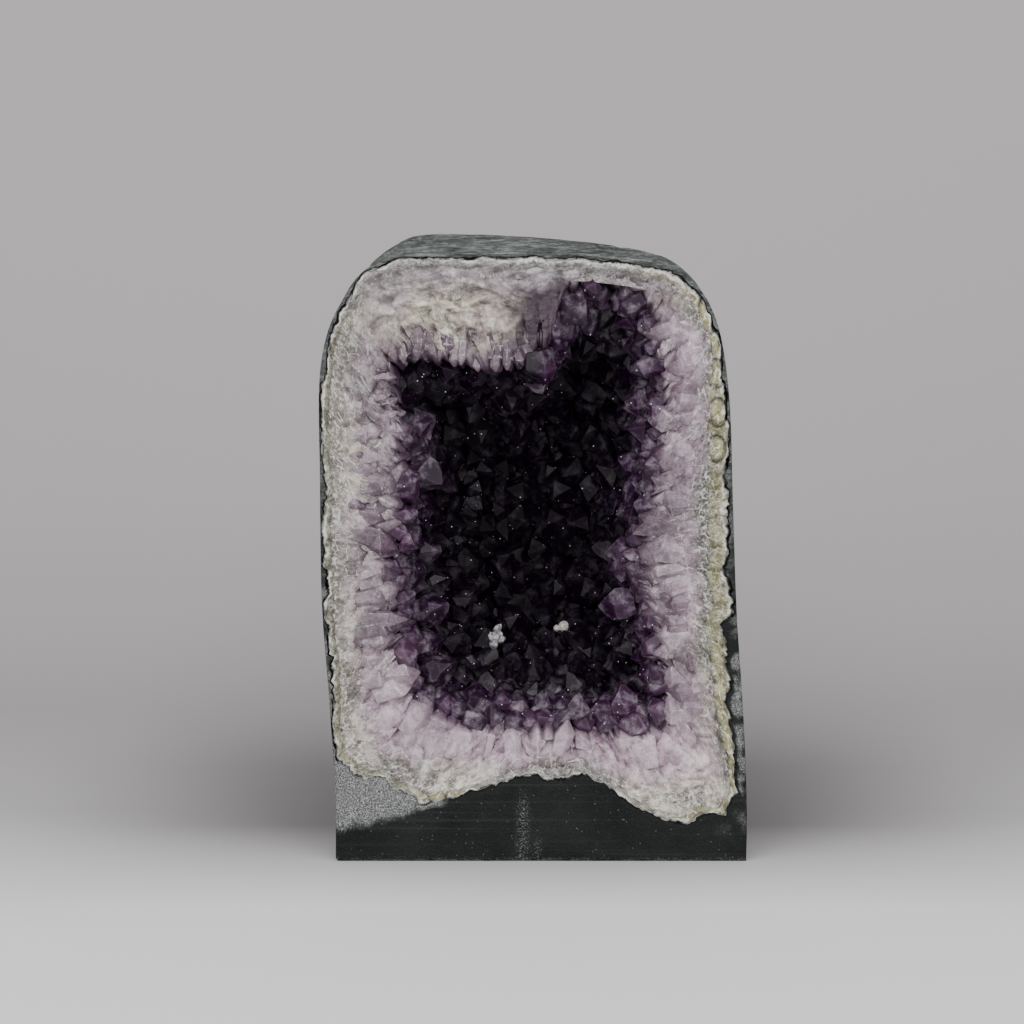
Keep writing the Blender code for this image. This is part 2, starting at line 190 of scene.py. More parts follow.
# %% Cell noise
def cells(u, v, around, seed, jitter=0.85):
    """Nearest and second nearest of one point per lattice square, on a lattice that closes in u.

    Returns the two distances, the offset to the nearest point, and four random numbers of its cell.
    """
    chance = np.random.default_rng(seed)
    spots = 0.5 + jitter * (chance.random((around, LATTICE_ROWS, 2)) - 0.5)
    numbers = chance.random((around, LATTICE_ROWS, 4))
    first = np.full(u.shape, 9.0)
    second = first.copy()
    du, dv = np.zeros(u.shape), np.zeros(u.shape)
    own = np.zeros(u.shape + (4,))
    column, row = np.floor(u).astype(int), np.floor(v).astype(int)
    for i, j in np.ndindex(3, 3):
        where = ((column + i - 1) % around, (row + j - 1) % LATTICE_ROWS)
        across = column + i - 1 + spots[where][..., 0] - u
        along = row + j - 1 + spots[where][..., 1] - v
        distance = np.hypot(across, along)
        nearer = distance < first
        second = np.where(nearer, first, np.minimum(second, distance))
        first = np.where(nearer, distance, first)
        du, dv = np.where(nearer, across, du), np.where(nearer, along, dv)
        own = np.where(nearer[..., None], numbers[where], own)
    return first, second, du, dv, own


# %% Rises and bells
def step(low, high, value):
    """0 below low, 1 above high, and a smooth rise between."""
    t = np.clip((value - low) / (high - low), 0, 1)
    return t * t * (3 - 2 * t)


def bell(value):
    """1 at 0, and near 0 from 2 on."""
    return np.exp(-(value**2))


print("noise ready:", rocky_noise(np.zeros((1, 3)), 10.0, 1)[0].round(3))

# %% [markdown]
# ## From arrays to pieces
#
# A grid of points becomes a mesh in one go: the points are written as one array, and so are the faces.
# A surface may carry named numbers for each point, such as how far a point is from the rock. The
# materials read them. Each piece rides on the stone's only body; some hide the CAD parts they replace.


# %% Meshes
def add(name, data):
    """A new object in the scene, at the origin."""
    made = bpy.data.objects.new(name, data)
    bpy.context.scene.collection.objects.link(made)
    return made


def new_piece(name, points, faces, values, finish, slot, smooth=False, replaces=()):
    """A mesh from an array of points, a list of face arrays and named numbers for each point."""
    mesh = bpy.data.meshes.new(name)
    mesh.from_pydata((points.reshape(-1, 3) * MM), [], [f for block in faces for f in block.tolist()])
    for key, numbers in values.items():
        attribute = mesh.attributes.new(key, "FLOAT", "POINT")
        attribute.data.foreach_set("value", np.asarray(numbers, np.float32).ravel())
    build = bmesh.new()
    build.from_mesh(mesh)
    bmesh.ops.recalc_face_normals(build, faces=build.faces)
    build.to_mesh(mesh)
    build.free()
    mesh.shade_smooth() if smooth else mesh.shade_flat()
    mesh.materials.append(finish)
    piece = add(name, mesh)
    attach(piece, "root")
    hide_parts(*replaces)
    print(f"{name}: {sum(len(block) * (block.shape[1] - 2) for block in faces)} triangles")
    return piece


def grid_piece(name, grid, *details, capped=False, smooth=True, replaces=()):
    """A piece from rows of points that each close on themselves. A capped one also has its ends closed."""
    rows, columns = grid.shape[:2]
    i, j = np.meshgrid(np.arange(rows - 1), np.arange(columns), indexing="ij")
    k = (j + 1) % columns
    corners = (i * columns + j, (i + 1) * columns + j, (i + 1) * columns + k, i * columns + k)
    faces = [np.stack(corners, axis=-1).reshape(-1, 4)]
    if capped:
        end = np.arange(columns)[None, :]
        faces += [end, (rows - 1) * columns + end[:, ::-1]]
    return new_piece(name, grid, faces, *details, smooth=smooth, replaces=replaces)


def ring_rows(shown, hidden, values):
    """Closes a ring's cross-section: the rows that show, hidden ones behind them, and the first again.
    Hidden rows have the numbers of the last row that shows."""
    points = np.concatenate([shown, *hidden, shown[:1]])
    extra = len(points) - len(shown) - 1
    closed = {k: np.concatenate([v, np.repeat(v[-1:], extra, axis=0), v[:1]]) for k, v in values.items()}
    return points, closed


# %% [markdown]
# ## Building materials from nodes
#
# A shader is a small graph. A few short methods keep the graphs readable: one adds a node and fills its
# sockets, one lays colours over each other, others do arithmetic. Effects that several minerals share are
# node groups: a sugary grain of tiny crystals, light specks that are pale grains in rock and painted glints
# on amethyst, thin healed cracks, and the frosted white line that a broken or rubbed crystal shows along
# its edges.


# %% Node helpers
class Graph:
    """The nodes of one material or group. An input is a number, a colour of three numbers, another node's
    output, or the name of a number that the mesh carries for each of its points."""

    def __init__(self, tree):
        self.tree = tree
        self.link = tree.links.new

    def node(self, kind, inputs=None, **settings):
        made = self.tree.nodes.new("ShaderNode" + kind)
        for key, value in settings.items():
            setattr(made, key, value)
        for key, value in (inputs or {}).items():
            socket = made.inputs[key]
            if isinstance(value, str):
                value = self.node("Attribute", attribute_name=value).outputs["Fac"]
            if isinstance(value, bpy.types.NodeSocket):
                self.link(value, socket)
            else:
                socket.default_value = (*value, 1.0) if socket.type == "RGBA" else value
        return made

    def over(self, colour, *layers):
        """Lays colours over the first one, each a tuple (share, colour) or (share, colour, way to mix)."""
        for share, layer, *how in layers:
            inputs = {0: share, 6: colour, 7: layer}
            colour = self.node("Mix", inputs, data_type="RGBA", blend_type=(how or ["MIX"])[0]).outputs[2]
        return colour

    def maths(self, operation, *numbers, clamp=False):
        return self.node("Math", dict(enumerate(numbers)), operation=operation, use_clamp=clamp).outputs[0]

    def times(self, first, second):
        return self.maths("MULTIPLY", first, second)

    def times_plus(self, first, second, third):
        return self.maths("MULTIPLY_ADD", first, second, third)

    def ranged(self, value, low, high, to_low=0, to_high=1):
        """Moves a value from one range to another, smoothly, and holds it at the ends."""
        inputs = {"Value": value, "From Min": low, "From Max": high, "To Min": to_low, "To Max": to_high}
        return self.node("MapRange", inputs, interpolation_type="SMOOTHSTEP").outputs[0]

    def ramp(self, share, *stops):
        """A colour for each share: stops are (place, colour)."""
        made = self.node("ValToRGB", {0: share})
        elements = made.color_ramp.elements
        while len(elements) < len(stops):
            elements.new(0.5)
        for element, (where, colour) in zip(elements, stops):
            element.position, element.color = where, (*colour, 1)
        return made.outputs[0]

    def here(self):
        """The point on the piece, in the piece's own space."""
        return self.node("TexCoord").outputs["Object"]

    def squeezed(self, x, z):
        """The same point with x and z scaled, so that a noise there is drawn out."""
        return self.node("Mapping", {"Vector": self.here(), "Scale": (x, 1, z)}).outputs[0]

    def noise(self, scale, detail=3, roughness=0.55, distortion=0, point=None):
        inputs = {"Scale": scale, "Detail": detail, "Roughness": roughness, "Distortion": distortion}
        inputs["Vector"] = self.here() if point is None else point
        return self.node("TexNoise", inputs).outputs[0]

    def use(self, shared, output="Mask", **inputs):
        """Places a shared group with its own values, and returns one of its outputs."""
        return self.node("Group", inputs, node_tree=shared).outputs[output]


def group(name, usual, *outputs):
    """An empty node group with number inputs, {name: usual value}, and number outputs."""
    tree = bpy.data.node_groups.new(name, "ShaderNodeTree")
    for label, value in usual.items():
        socket = tree.interface.new_socket(label, in_out="INPUT", socket_type="NodeSocketFloat")
        socket.default_value = value
    for label in outputs:
        tree.interface.new_socket(label, in_out="OUTPUT", socket_type="NodeSocketFloat")
    given, result = tree.nodes.new("NodeGroupInput").outputs, tree.nodes.new("NodeGroupOutput").inputs
    return Graph(tree), given, result


# %% Shared effects
def grains_of(g, scale, channel):
    """The cells of a fine Voronoi pattern: one random number of each, and the distance from its middle."""
    grains = g.node("TexVoronoi", {"Vector": g.here(), "Scale": scale})
    return g.node("SeparateColor", {0: grains.outputs["Color"]}).outputs[channel], grains.outputs["Distance"]


def sugar_group():
    """Tiny crystals: grains, each of its own lightness, under a wider noise."""
    g, given, result = group("sugar grain", {"Scale": 900}, "Lightness", "Height")
    lightness, distance = grains_of(g, given["Scale"], 0)
    wide = g.noise(g.times(given["Scale"], 0.3), 4, 0.65)
    g.link(g.times_plus(lightness, 0.55, g.times(wide, 0.45)), result["Lightness"])
    g.link(g.maths("SUBTRACT", wide, distance), result["Height"])
    return g.tree


def speck_group():
    """Small light grains scattered more thickly in some places: pale in rock, painted glints on amethyst."""
    g, given, result = group("specks_and_glints", {"Scale": 600, "Share": 0.2}, "Mask")
    chosen, distance = grains_of(g, given["Scale"], 1)
    places = g.times(g.noise(g.times(given["Scale"], 0.08)), 2)
    few = g.maths("LESS_THAN", chosen, g.times(given["Share"], places))
    g.link(g.times(few, g.ranged(distance, 0.55, 0.25)), result["Mask"])
    return g.tree


def edge_group():
    """A white line where Inside, the distance from an edge in millimetres, is small. Noise breaks it up."""
    g, given, result = group("frosted edges", {"Inside": 1, "Width": 0.4, "Scale": 350}, "Mask")
    width = g.times(given["Width"], g.ranged(g.noise(given["Scale"], 4, 0.7), 0.35, 0.65, 0.1, 1.7))
    g.link(g.ranged(g.maths("DIVIDE", given["Inside"], width), 1, 0.35), result["Mask"])
    return g.tree


def wisp_group():
    """Thin curved white lines, like healed cracks: places where a noise is close to its middle value."""
    g, given, result = group("wisps", {"Scale": 200, "Width": 0.02}, "Mask")
    level = g.maths("ABSOLUTE", g.maths("SUBTRACT", g.noise(given["Scale"], 6, 0.66, 1.4), 0.5))
    line = g.ranged(g.maths("DIVIDE", level, given["Width"]), 1, 0.2)
    patchy = g.ranged(g.noise(g.times(given["Scale"], 0.45)), 0.42, 0.6)
    g.link(g.times(line, patchy), result["Mask"])
    return g.tree


SUGAR, SPECKS_AND_GLINTS, EDGES, WISPS = sugar_group(), speck_group(), edge_group(), wisp_group()
print("shared groups:", [g.name for g in bpy.data.node_groups])


def finish_of(name, colour, roughness, bump=None, strength=0.3, distance=0.0005, **constants):
    """A Principled material. Colour and bump are functions that build, roughness is one or a number."""
    made = bpy.data.materials.new(name)
    made.use_nodes = True
    g = Graph(made.node_tree)
    sockets = g.tree.nodes["Principled BSDF"].inputs
    g.link(colour(g), sockets["Base Color"])
    if callable(roughness):
        g.link(roughness(g), sockets["Roughness"])
    else:
        sockets["Roughness"].default_value = roughness
    if bump:
        inputs = {"Height": bump(g), "Strength": strength, "Distance": distance}
        g.link(g.node("Bump", inputs).outputs[0], sockets["Normal"])
    for key, value in constants.items():
        sockets[key.replace("_", " ")].default_value = value
    return made


# %% [markdown]
# ## The rock
#
# The host rock is basalt. Its outside is the weathered skin of a boulder, its foot is sawn flat. The skin
# is the face's outline, drawn again at each depth: scaled about the middle of the foot, so that the base
# stays flat. The scale first swells a little and then follows a superellipse to the back. Roughness is
# pushed into that surface along its own normal, never outwards, so that the stone keeps its size.

# %% Shape of the outside
STONE_DEPTH, BACK_ROUNDNESS = 132, 2.4
SIDE_SWELL, TOP_SWELL, SWELL_DEPTH = 0.006, 0.03, 26
TOP_LEFT, TOP_RIGHT = (-76, -50), (50, 80)


def top_swell(x):
    """The swell of the top: full in the middle, and none at the two shoulders."""
    return TOP_SWELL * step(*TOP_LEFT, x) * (1 - step(*TOP_RIGHT, x))


def section_size(depth, swell):
    """A quarter sine wave of swell, times (1 - (depth / full depth)^n)^(1/n)."""
    grown = 1 + swell * np.sin(np.pi / 2 * np.minimum(depth / SWELL_DEPTH, 1))
    return grown * (1 - (depth / STONE_DEPTH) ** BACK_ROUNDNESS) ** (1 / BACK_ROUNDNESS)


def lumps(angles, depth):
    """Two slow waves round the stone that turn with depth, faded in behind the face."""
    wave = 0.5 * np.sin(3 * angles + depth / 21) + 0.3 * np.sin(5 * angles - depth / 14 + 1.3)
    return 0.02 * np.minimum(depth / 30, 1) * (wave + 0.3 * np.sin(depth / 17))


def outside(angles, depth):
    """Points of the stone's outside: the outline scaled about the middle of the foot, (0, 0)."""
    distance = outer_reach(angles)
    x, z = AXIS[0] + distance * np.cos(angles), AXIS[1] + distance * np.sin(angles)
    lumpy = 1 + lumps(angles, depth)
    z = np.where(z < 0.01, 0, z * section_size(depth, top_swell(x)) * lumpy)
    x = x * section_size(depth, SIDE_SWELL) * lumpy + shift
    return np.stack(np.broadcast_arrays(x, front + depth, z), axis=-1)


def grid_normals(points):
    """Across times along: the cross product of each point's two neighbour differences, made unit length."""
    along = np.gradient(points, axis=0)
    across = np.roll(points, -1, axis=1) - np.roll(points, 1, axis=1)
    normal = np.cross(across, along)
    return normal / np.maximum(np.linalg.norm(normal, axis=-1, keepdims=True), 1e-9)


# %% The rock's surface
HIDDEN_ROWS, FACE_ROWS, SKIN_ROWS, CAP_ROWS = 7, 16, 78, 10
LAST_SECTION, CAP_BULGE, BOWL_DEPTH, MOST_PUSH = 130.5, 0.7, 110.4, 6
rock_angle = circle(720)


def low_right(angles):
    """1 along the lower part of the right side, where the rock is thicker than elsewhere."""
    x, z = outline_xz(place(angles, rock_reach(angles), 0))
    return step(60, 74, x) * step(6, 22, z) * step(106, 92, z)


def rock_edge(angles):
    """Where rock meets crust: the CAD outline with some wander, inside the stone's outline."""
    ring = place(angles, rock_reach(angles), 0)
    strong = 1 + step(0, -0.6, np.sin(angles)) + 1.2 * step(0.35, 0.75, np.abs(np.cos(angles)))
    wander = 0.7 + 0.9 * rocky_noise(ring, 9, 11, 5, 0.65) * strong
    return np.minimum(rock_reach(angles) + wander - 5.0 * low_right(angles), outer_reach(angles) - 0.35)


def rock_surface():
    """Rows from the bowl behind the crust to the edge, over the open face, and along the skin to the back.

    Returns the points, how far each is sawn rather than weathered, and how deep it lies in a hollow.
    """
    edge, rim = rock_edge(rock_angle), outer_reach(rock_angle)
    turn = np.linspace(0.97, 0, HIDDEN_ROWS)[:, None] * np.pi / 2
    bowl = place(rock_angle, (edge + 0.3) * np.cos(turn) - 0.2 * (turn > 0), BOWL_DEPTH * np.sin(turn) + 0.02)
    share = np.linspace(0, 1, FACE_ROWS)[1:, None] ** 0.8
    face = place(rock_angle, edge + (rim - edge) * share, 0)
    chipped = 0.9 * step(1.6, 0, (rim - edge) * (1 - share))
    face[..., 1] += 0.25 + 0.25 * rocky_noise(face, 5, 21) + chipped
    face[..., 2] = np.maximum(face[..., 2], 0)
    skin = outside(rock_angle, LAST_SECTION * np.sin(np.linspace(0.008, np.pi / 2, SKIN_ROWS)[:, None]))
    pole = np.array([skin[-1, :, 0].mean(), front + LAST_SECTION, skin[-1, :, 2].mean()])
    shrink = np.linspace(1, 0.02, CAP_ROWS + 1)[1:, None, None]
    cap = pole + (skin[-1] - pole) * shrink
    cap[..., 1] += CAP_BULGE * (1 - shrink[..., 0] ** 2)
    points = np.concatenate([bowl, face, skin, cap])

    row = np.arange(len(points))[:, None]
    on_skin = row >= len(bowl) + len(face)
    on_face = (row >= len(bowl)) & ~on_skin
    depth = points[..., 1] - front
    rough = 0.1 + rocky_noise(points, 34, 31) * 0.7 + rocky_noise(points * (1, 0.6, 2.2), 9, 41) * 0.5
    rough = rough + step(18, 60, depth) * (1.4 + 2.4 * rocky_noise(points, 24, 45, 5, 0.55))
    pits = 1.1 * step(0.3, 0.75, value_noise(points, 7, 51))
    pits = pits + 0.5 * step(0.4, 0.8, value_noise(points, 3.6, 53))
    push = np.clip(rough + pits, 0, MOST_PUSH) * step(0, 8, depth) * on_skin
    push = push * step(0, 4, points[..., 2])
    points = points + grid_normals(points) * push[..., None]
    points[..., 2] = np.maximum(points[..., 2], 0)
    height = np.sin(rock_angle)
    sawn = ~on_skin - on_face * (0.4 * step(0.2, 0.6, height) + 0.35 * step(-0.4, 0.2, height))
    return points, sawn, (pits + 0.35 * rough) * on_skin


rock_grid, sawn, hollow = rock_surface()
rock_box = [rock_grid[..., 0].min(), rock_grid[..., 0].max(), rock_grid[..., 2].max()]
print("rock: left, right and top at {:.1f}, {:.1f} and {:.1f} mm".format(*rock_box))

# %% [markdown]
# ## Basalt finish
#
# Sawn basalt is almost black with a green cast, full of pale grains the size of sand, with faint level
# saw lines. Weathered basalt is a lighter, streaky grey-green, and painted shade makes it darker in its
# pits. Low on the left, and in strips along both sides, the saw went through a grey, sugary zone. White
# scratches run down the foot. One material holds all of it, chosen by numbers that the mesh carries.


# %% Basalt material
def basalt_colour(g):
    saw_lines = g.ranged(g.noise(90, 3, 0.6, point=g.squeezed(0.06, 6)), 0.52, 0.7, 0, 0.3)
    sawn_rock = g.over(
        g.ramp(g.noise(45, 5, 0.6), (0.3, (0.006, 0.0078, 0.0075)), (0.7, (0.014, 0.0168, 0.016))),
        (g.ranged(g.noise(2200, 4, 0.8), 0.56, 0.7, 0, 0.6), (0.085, 0.094, 0.09)),
        (g.times(g.use(SPECKS_AND_GLINTS, Scale=1700, Share=0.008), 0.6), (0.22, 0.23, 0.225)),
        (saw_lines, (0.045, 0.05, 0.048)),
    )
    level = g.squeezed(0.35, 2.6)
    streaks = g.times(g.noise(210, 7, 0.75, 0.5, level), 0.6)
    streaks = g.times_plus(g.noise(1100, 5, 0.8, point=level), 0.4, streaks)
    weathered = g.over(
        g.ramp(streaks, (0.4, (0.026, 0.03, 0.029)), (0.5, (0.1, 0.112, 0.108)), (0.6, (0.32, 0.34, 0.33))),
        (g.ranged(g.noise(26, 4, 0.6), 0.36, 0.64, 0, 0.5), (0.62, 0.64, 0.63), "MULTIPLY"),
        # Painted shade: darker where the skin lies deep in a pit or hollow.
        (g.ranged("hollow", 0.5, 2, 0, 0.75), (0.35, 0.36, 0.36), "MULTIPLY"),
    )
    grain = g.noise(1500, 7, 0.85)
    sugary = g.ramp(
        grain, (0.42, (0.045, 0.048, 0.048)), (0.51, (0.14, 0.146, 0.146)), (0.59, (0.48, 0.49, 0.48))
    )
    rubbed = g.ranged(g.noise(1300, 6, 0.8), 0.5, 0.62, 0, 0.7)
    return g.over(
        weathered,
        ("sawn", sawn_rock),
        (g.times(rubbed, "scuff"), (0.3, 0.32, 0.31)),
        ("sugary", sugary),
    )


def basalt_height(g):
    return g.maths("ADD", g.noise(500, 5, 0.7), g.use(SUGAR, "Height", Scale=1300))


basalt = finish_of("basalt", basalt_colour, 0.75, basalt_height, 0.6, 0.0006, Specular_IOR_Level=0.15)

# %% Basalt piece
x, z = outline_xz(rock_grid)
rows = (np.arange(len(rock_grid))[:, None] - HIDDEN_ROWS + 1) / (FACE_ROWS - 1)
zone_floor = 14.5 + 0.14 * (x + 81) + 5.5 * ((x + 81) / 44) ** 2 + 1.2 * value_noise(rock_grid, 5, 63)
left_zone = step(-34, -40, x) * step(-0.8, 1.2, z - zone_floor) * step(60, 40, z)
mottled = step(-0.5, 0.3, rocky_noise(rock_grid, 5, 64)) * step(0.1, 0.3, rows)
low_strip = mottled * step(70, 74, x) * step(104, 90, z) * step(10, 24, z)
right_strip = step(68, 72, x) * step(0.05, 0.45, value_noise(rock_grid, 6, 62)) * step(90, 104, z)
left_strip = step(-74, -80, x) * step(-0.25, 0.35, value_noise(rock_grid, 7, 61)) * step(14, 26, z)
sugary = left_zone + 0.75 * low_strip + 0.525 * right_strip + 0.75 * left_strip
scuff = bell((x + 7.5) / 2.4) * step(33, 20, z) + 0.7 * bell((x + 1.5) / 1.2) * step(16, 2, z)
scuff = scuff + step(2.2, 0.4, z) * 0.7
rock_values = {"sawn": sawn, "sugary": np.clip(sugary * sawn, 0, 1), "scuff": scuff * sawn, "hollow": hollow}
grid_piece("basalt_rock", rock_grid, rock_values, basalt, "basalt", capped=True, replaces=["basalt_rind"])

# %% [markdown]
# ## What grows where on the open face
#
# A slice through a geode wall is not the same all round. Cream and grey-green swirls lie at the top
# left, yellow nodules at the right, violet where the cut comes near to a pocket, pink at the bottom. The
# pink patches are also painted lighter, as light falling from above. Each kind is a short list of soft
# round patches, and a point's number is how deep it lies in them.

# %% Patches, in millimetres: (x, z, half width, half height, strength)
CREAM = [
    (-44, 229, 30, 12, 1.1), (-24, 222, 26, 9, 1.2), (-6, 232, 16, 7, 0.8), (-81, 181, 9, 30, 0.4),
    (-80, 98, 7, 40, 0.35), (-76, 50, 10, 16, 0.5), (-36, 33, 18, 8, 0.9), (-44, 45, 8, 14, 0.35),
    (52, 26, 30, 10, 0.9), (62, 238, 16, 10, 0.7), (-74, 160, 8, 20, 0.4), (68, 60, 8, 36, 0.45),
]
VIOLET = [
    (2, 224, 16, 17, 1.1), (20, 238, 24, 10, 0.9), (41, 214, 6, 25, 1), (-8, 211, 22, 8, 0.9),
    (46, 190, 7, 14, 0.4), (44, 130, 8, 26, 0.35), (-52, 212, 8, 8, 0.4), (6, 55, 40, 8, 0.45),
    (-58, 150, 8, 30, 0.3),
]
SMOKE = [
    (8, 246, 34, 6, 0.9), (36, 243, 24, 8, 0.8), (-40, 245, 24, 6, 0.9), (-62, 234, 9, 9, 0.9),
    (-8, 243, 12, 6, 0.8), (-72, 196, 8, 14, 0.6), (-66, 128, 12, 22, 0.45), (60, 205, 10, 12, 0.3),
    (-50, 36, 10, 10, 0.5),
]
SWIRL = [(-40, 232, 32, 17, 1), (-14, 236, 26, 13, 1), (30, 245, 26, 7, 0.7)]
# Pink patches: the quartz's own pink, and painted light, lighter where more light falls from above.
PINK_AND_LIT = [
    (0, 46, 66, 13, 1), (58, 44, 20, 20, 0.8), (-60, 66, 14, 16, 0.7), (64, 120, 9, 60, 0.35),
    (58, 220, 12, 22, 0.6),
]
YELLOW = [
    (-43, 28, 10, 8, 1), (-80, 60, 8, 30, 0.35), (-82, 190, 8, 30, 0.25), (67, 226, 8, 11, 1),
    (72, 50, 9, 28, 1),
]


def patches(spots, x, z):
    """Sum of bell curves, one for each patch, held to 1."""
    total = sum(s * np.exp(-(((x - a) / w) ** 2) - ((z - b) / h) ** 2) for a, b, w, h, s in spots)
    return np.clip(total, 0, 1)


# %% [markdown]
# ## The chalcedony crust
#
# Between rock and quartz lies a skin of chalcedony, a few millimetres thick. At the left it is a pale,
# sugary line. At the right it is yellow-green, knobbly, and has round nodules with dark seams. The piece
# is a ring. Its front is a row of small domes from cell noise, and its cross-section closes behind the face.

# %% Crust surface
CRUST_ROWS, CRUST_LATTICE, DOME_SIZE, CRUST_DEPTH = 22, 150, 4.5, 9
NODULES = np.array([
    # x, z, half width, half height
    (68.6, 229, 3.8, 7.2), (71.6, 204, 3.6, 5), (72.6, 188, 3.2, 5), (72, 173, 3.4, 4.6),
    (-43.5, 28, 3.2, 4),
])
crust_angle = circle(1500)


def to_nodules(points):
    """For each nodule, how far out points lie: 0 in its middle, 1 on its ellipse."""
    x, z = outline_xz(points[None])
    a, b, width, height = NODULES.T[..., None, None]
    return np.hypot((x - a) / width, (z - b) / height)


def crust_surface():
    share = np.linspace(0, 1, CRUST_ROWS)[:, None]
    outer = rock_edge(crust_angle) - 0.1
    inner = band_reach(crust_angle) - 3.0 - 3.5 * low_right(crust_angle)
    points = place(crust_angle, outer + (inner - outer) * share, 0)
    u = np.broadcast_to(crust_angle / TURN * CRUST_LATTICE, points.shape[:-1])
    first, second, _, _, own = cells(u, share * (outer - inner) / DOME_SIZE, CRUST_LATTICE, 73)
    knobs = 0.25 + 0.75 * step(0.6, 0.8, np.cos(crust_angle))
    relief = 0.35 + (2.4 * np.clip(first, 0, 0.8) ** 2 + 0.8 * own[..., 0]) * knobs
    relief = relief + 0.7 * rocky_noise(points, 3.2, 75, 4, 0.65)
    relief = relief + 1.6 * step(0.16, 0, share + 0.1 * value_noise(points, 3, 77))
    relief = relief + np.where(knobs > 0.6, 2.6 * step(0.7, 1, share), 4.0 * step(0.25, 0.7, share))
    apart = to_nodules(points)
    relief = relief + (1.6 * bell((apart - 1.1) / 0.16) - 1.2 * step(1.1, 0.6, apart)).sum(axis=0)

    x, z = outline_xz(points)
    nearest = apart.min(axis=0)
    yellow = np.clip(step(30, 60, x) * 0.6 + patches(YELLOW, x, z), 0, 1)
    bottom = step(48, 40, z) * step(-34, -22, x) * step(64, 54, x)
    values = {
        "inside": (second - first) * DOME_SIZE, "tone": own[..., 1], "across": share + 0 * first,
        "yellow": np.maximum(yellow, step(1.1, 0.9, nearest)), "outline": bell((nearest - 1.2) / 0.1),
        "plain": step(215, 240, z) * step(66, 50, x) + bottom,
    }
    points[..., 1] += np.clip(relief, 0.05, 6)
    hidden = [place(crust_angle, edge, CRUST_DEPTH)[None] for edge in (inner, outer)]
    return ring_rows(points, hidden, values)


# %% Crust material
def crust_colour(g):
    across = g.times_plus(g.noise(150, 4, 0.65), 0.7, "across")
    grainy = g.times_plus(g.noise(170, 5, 0.7), 0.5, g.times(g.noise(900, 7, 0.8), 0.5))
    pale, like_quartz, ochre = (
        g.ramp(grainy, (0.4, dark), (0.5, middle), (top, light))
        for dark, middle, top, light in (
            ((0.045, 0.045, 0.033), (0.165, 0.16, 0.12), 0.6, (0.52, 0.505, 0.41)),
            ((0.1, 0.088, 0.092), (0.25, 0.23, 0.232), 0.6, (0.58, 0.555, 0.55)),
            ((0.14, 0.126, 0.052), (0.34, 0.32, 0.155), 0.62, (0.66, 0.64, 0.43)),
        )
    )
    belt = g.times(g.ranged(across, 0.42, 0.52), g.ranged(across, 1.15, 0.95))
    yellow = g.times("yellow", belt)
    rims = g.use(EDGES, Inside="inside", Width=0.6, Scale=420)
    threads = g.use(WISPS, Scale=420, Width=0.045)
    outer_line = g.times(g.ranged(across, 0.36, 0.42), g.ranged(across, 0.56, 0.48, 0, 0.7))
    dirt = g.ranged(g.noise(170, 6, 0.72), 0.58, 0.63, 0, 0.8)
    dark = g.maths("MAXIMUM", dirt, g.ranged(across, 0.4, 0.32))
    dark = g.maths("MAXIMUM", dark, g.times("outline", 0.85))
    return g.over(
        pale,
        ("plain", like_quartz),
        (yellow, ochre),
        (g.ranged("tone", 0, 1, 0, 0.5), (0.4, 0.4, 0.36), "MULTIPLY"),
        (g.times(rims, g.times(yellow, 0.8)), (0.78, 0.77, 0.68)),
        (g.times(threads, g.ranged(yellow, 0.2, 1, 0.6, 0.2)), (0.8, 0.79, 0.73)),
        (outer_line, (0.8, 0.79, 0.74)),
        (dark, (0.026, 0.03, 0.027)),
    )


def sugary_height(g):
    return g.maths("ADD", g.use(SUGAR, "Height", Scale=1500), g.noise(400, 4, 0.7))


chalcedony = finish_of("chalcedony", crust_colour, 0.5, sugary_height, 0.55, 0.0006)

# %% Crust piece
grid_piece("chalcedony_crust", *crust_surface(), chalcedony, "chalcedony", replaces=["chalcedony_band"])

# %% [markdown]
# ## The quartz wall
#
# The broken edge of the quartz wall is a mosaic. Near the rock the crystals are fine and sugary. Toward
# the cavity they grow large and smooth, with thin white rims where they touch. At the top left they give
# way to agate swirls, over a comb of narrow crystals. The front is a height field in polar coordinates,
# and each cell of the mosaic tilts its own way. Then the surface rolls over the notched edge into the
# cavity, and it closes behind the face.

# %% Where the quartz lies
QUARTZ_ROWS, ROLL_ROWS, ROLL_DEPTH, STREAK_CIRCLE = 64, 9, 19, 600
CAVITY_DEPTH, CAVITY_ROUNDNESS, CAVITY_DEEP = 92, 2.3, (52, 76)
quartz_angle = circle(1320)


def wall_points(angles, latitude):
    """The cavity's wall: a superellipse bowl whose outline turns into an ellipse as it goes back."""
    back = np.sin(latitude) ** 1.5
    deep = 1 / np.hypot(np.cos(angles) / CAVITY_DEEP[0], np.sin(angles) / CAVITY_DEEP[1])
    distance = (cavity_reach(angles) * (1 - back) + deep * back) * np.cos(latitude) ** (2 / CAVITY_ROUNDNESS)
    return place(angles, distance, CAVITY_DEPTH * np.sin(latitude) ** (2 / CAVITY_ROUNDNESS))


def length_along(angles):
    """Length along the middle of the quartz wall, so that cells keep their size at the corners."""
    middle = place(angles, (band_reach(angles) + cavity_reach(angles)) / 2, 0)
    steps = np.linalg.norm(np.roll(middle, -1, axis=0) - middle, axis=-1)
    return np.concatenate([[0], np.cumsum(steps)[:-1]]), steps.sum()


along, full_length = length_along(quartz_angle)
print(f"the quartz wall is {full_length:.0f} mm long")


# %% Cells of the mosaic
def facets(x, z, turn, slopes):
    """Three planes through the middle of a cell, each leaning its own way: the largest of them counts."""
    a, b, c = slopes
    x, z = x * np.cos(turn) + z * np.sin(turn), z * np.cos(turn) - x * np.sin(turn)
    return np.maximum(np.maximum(a * x, 0.6 * a * z - b * x), -c * z - 0.1 * x)


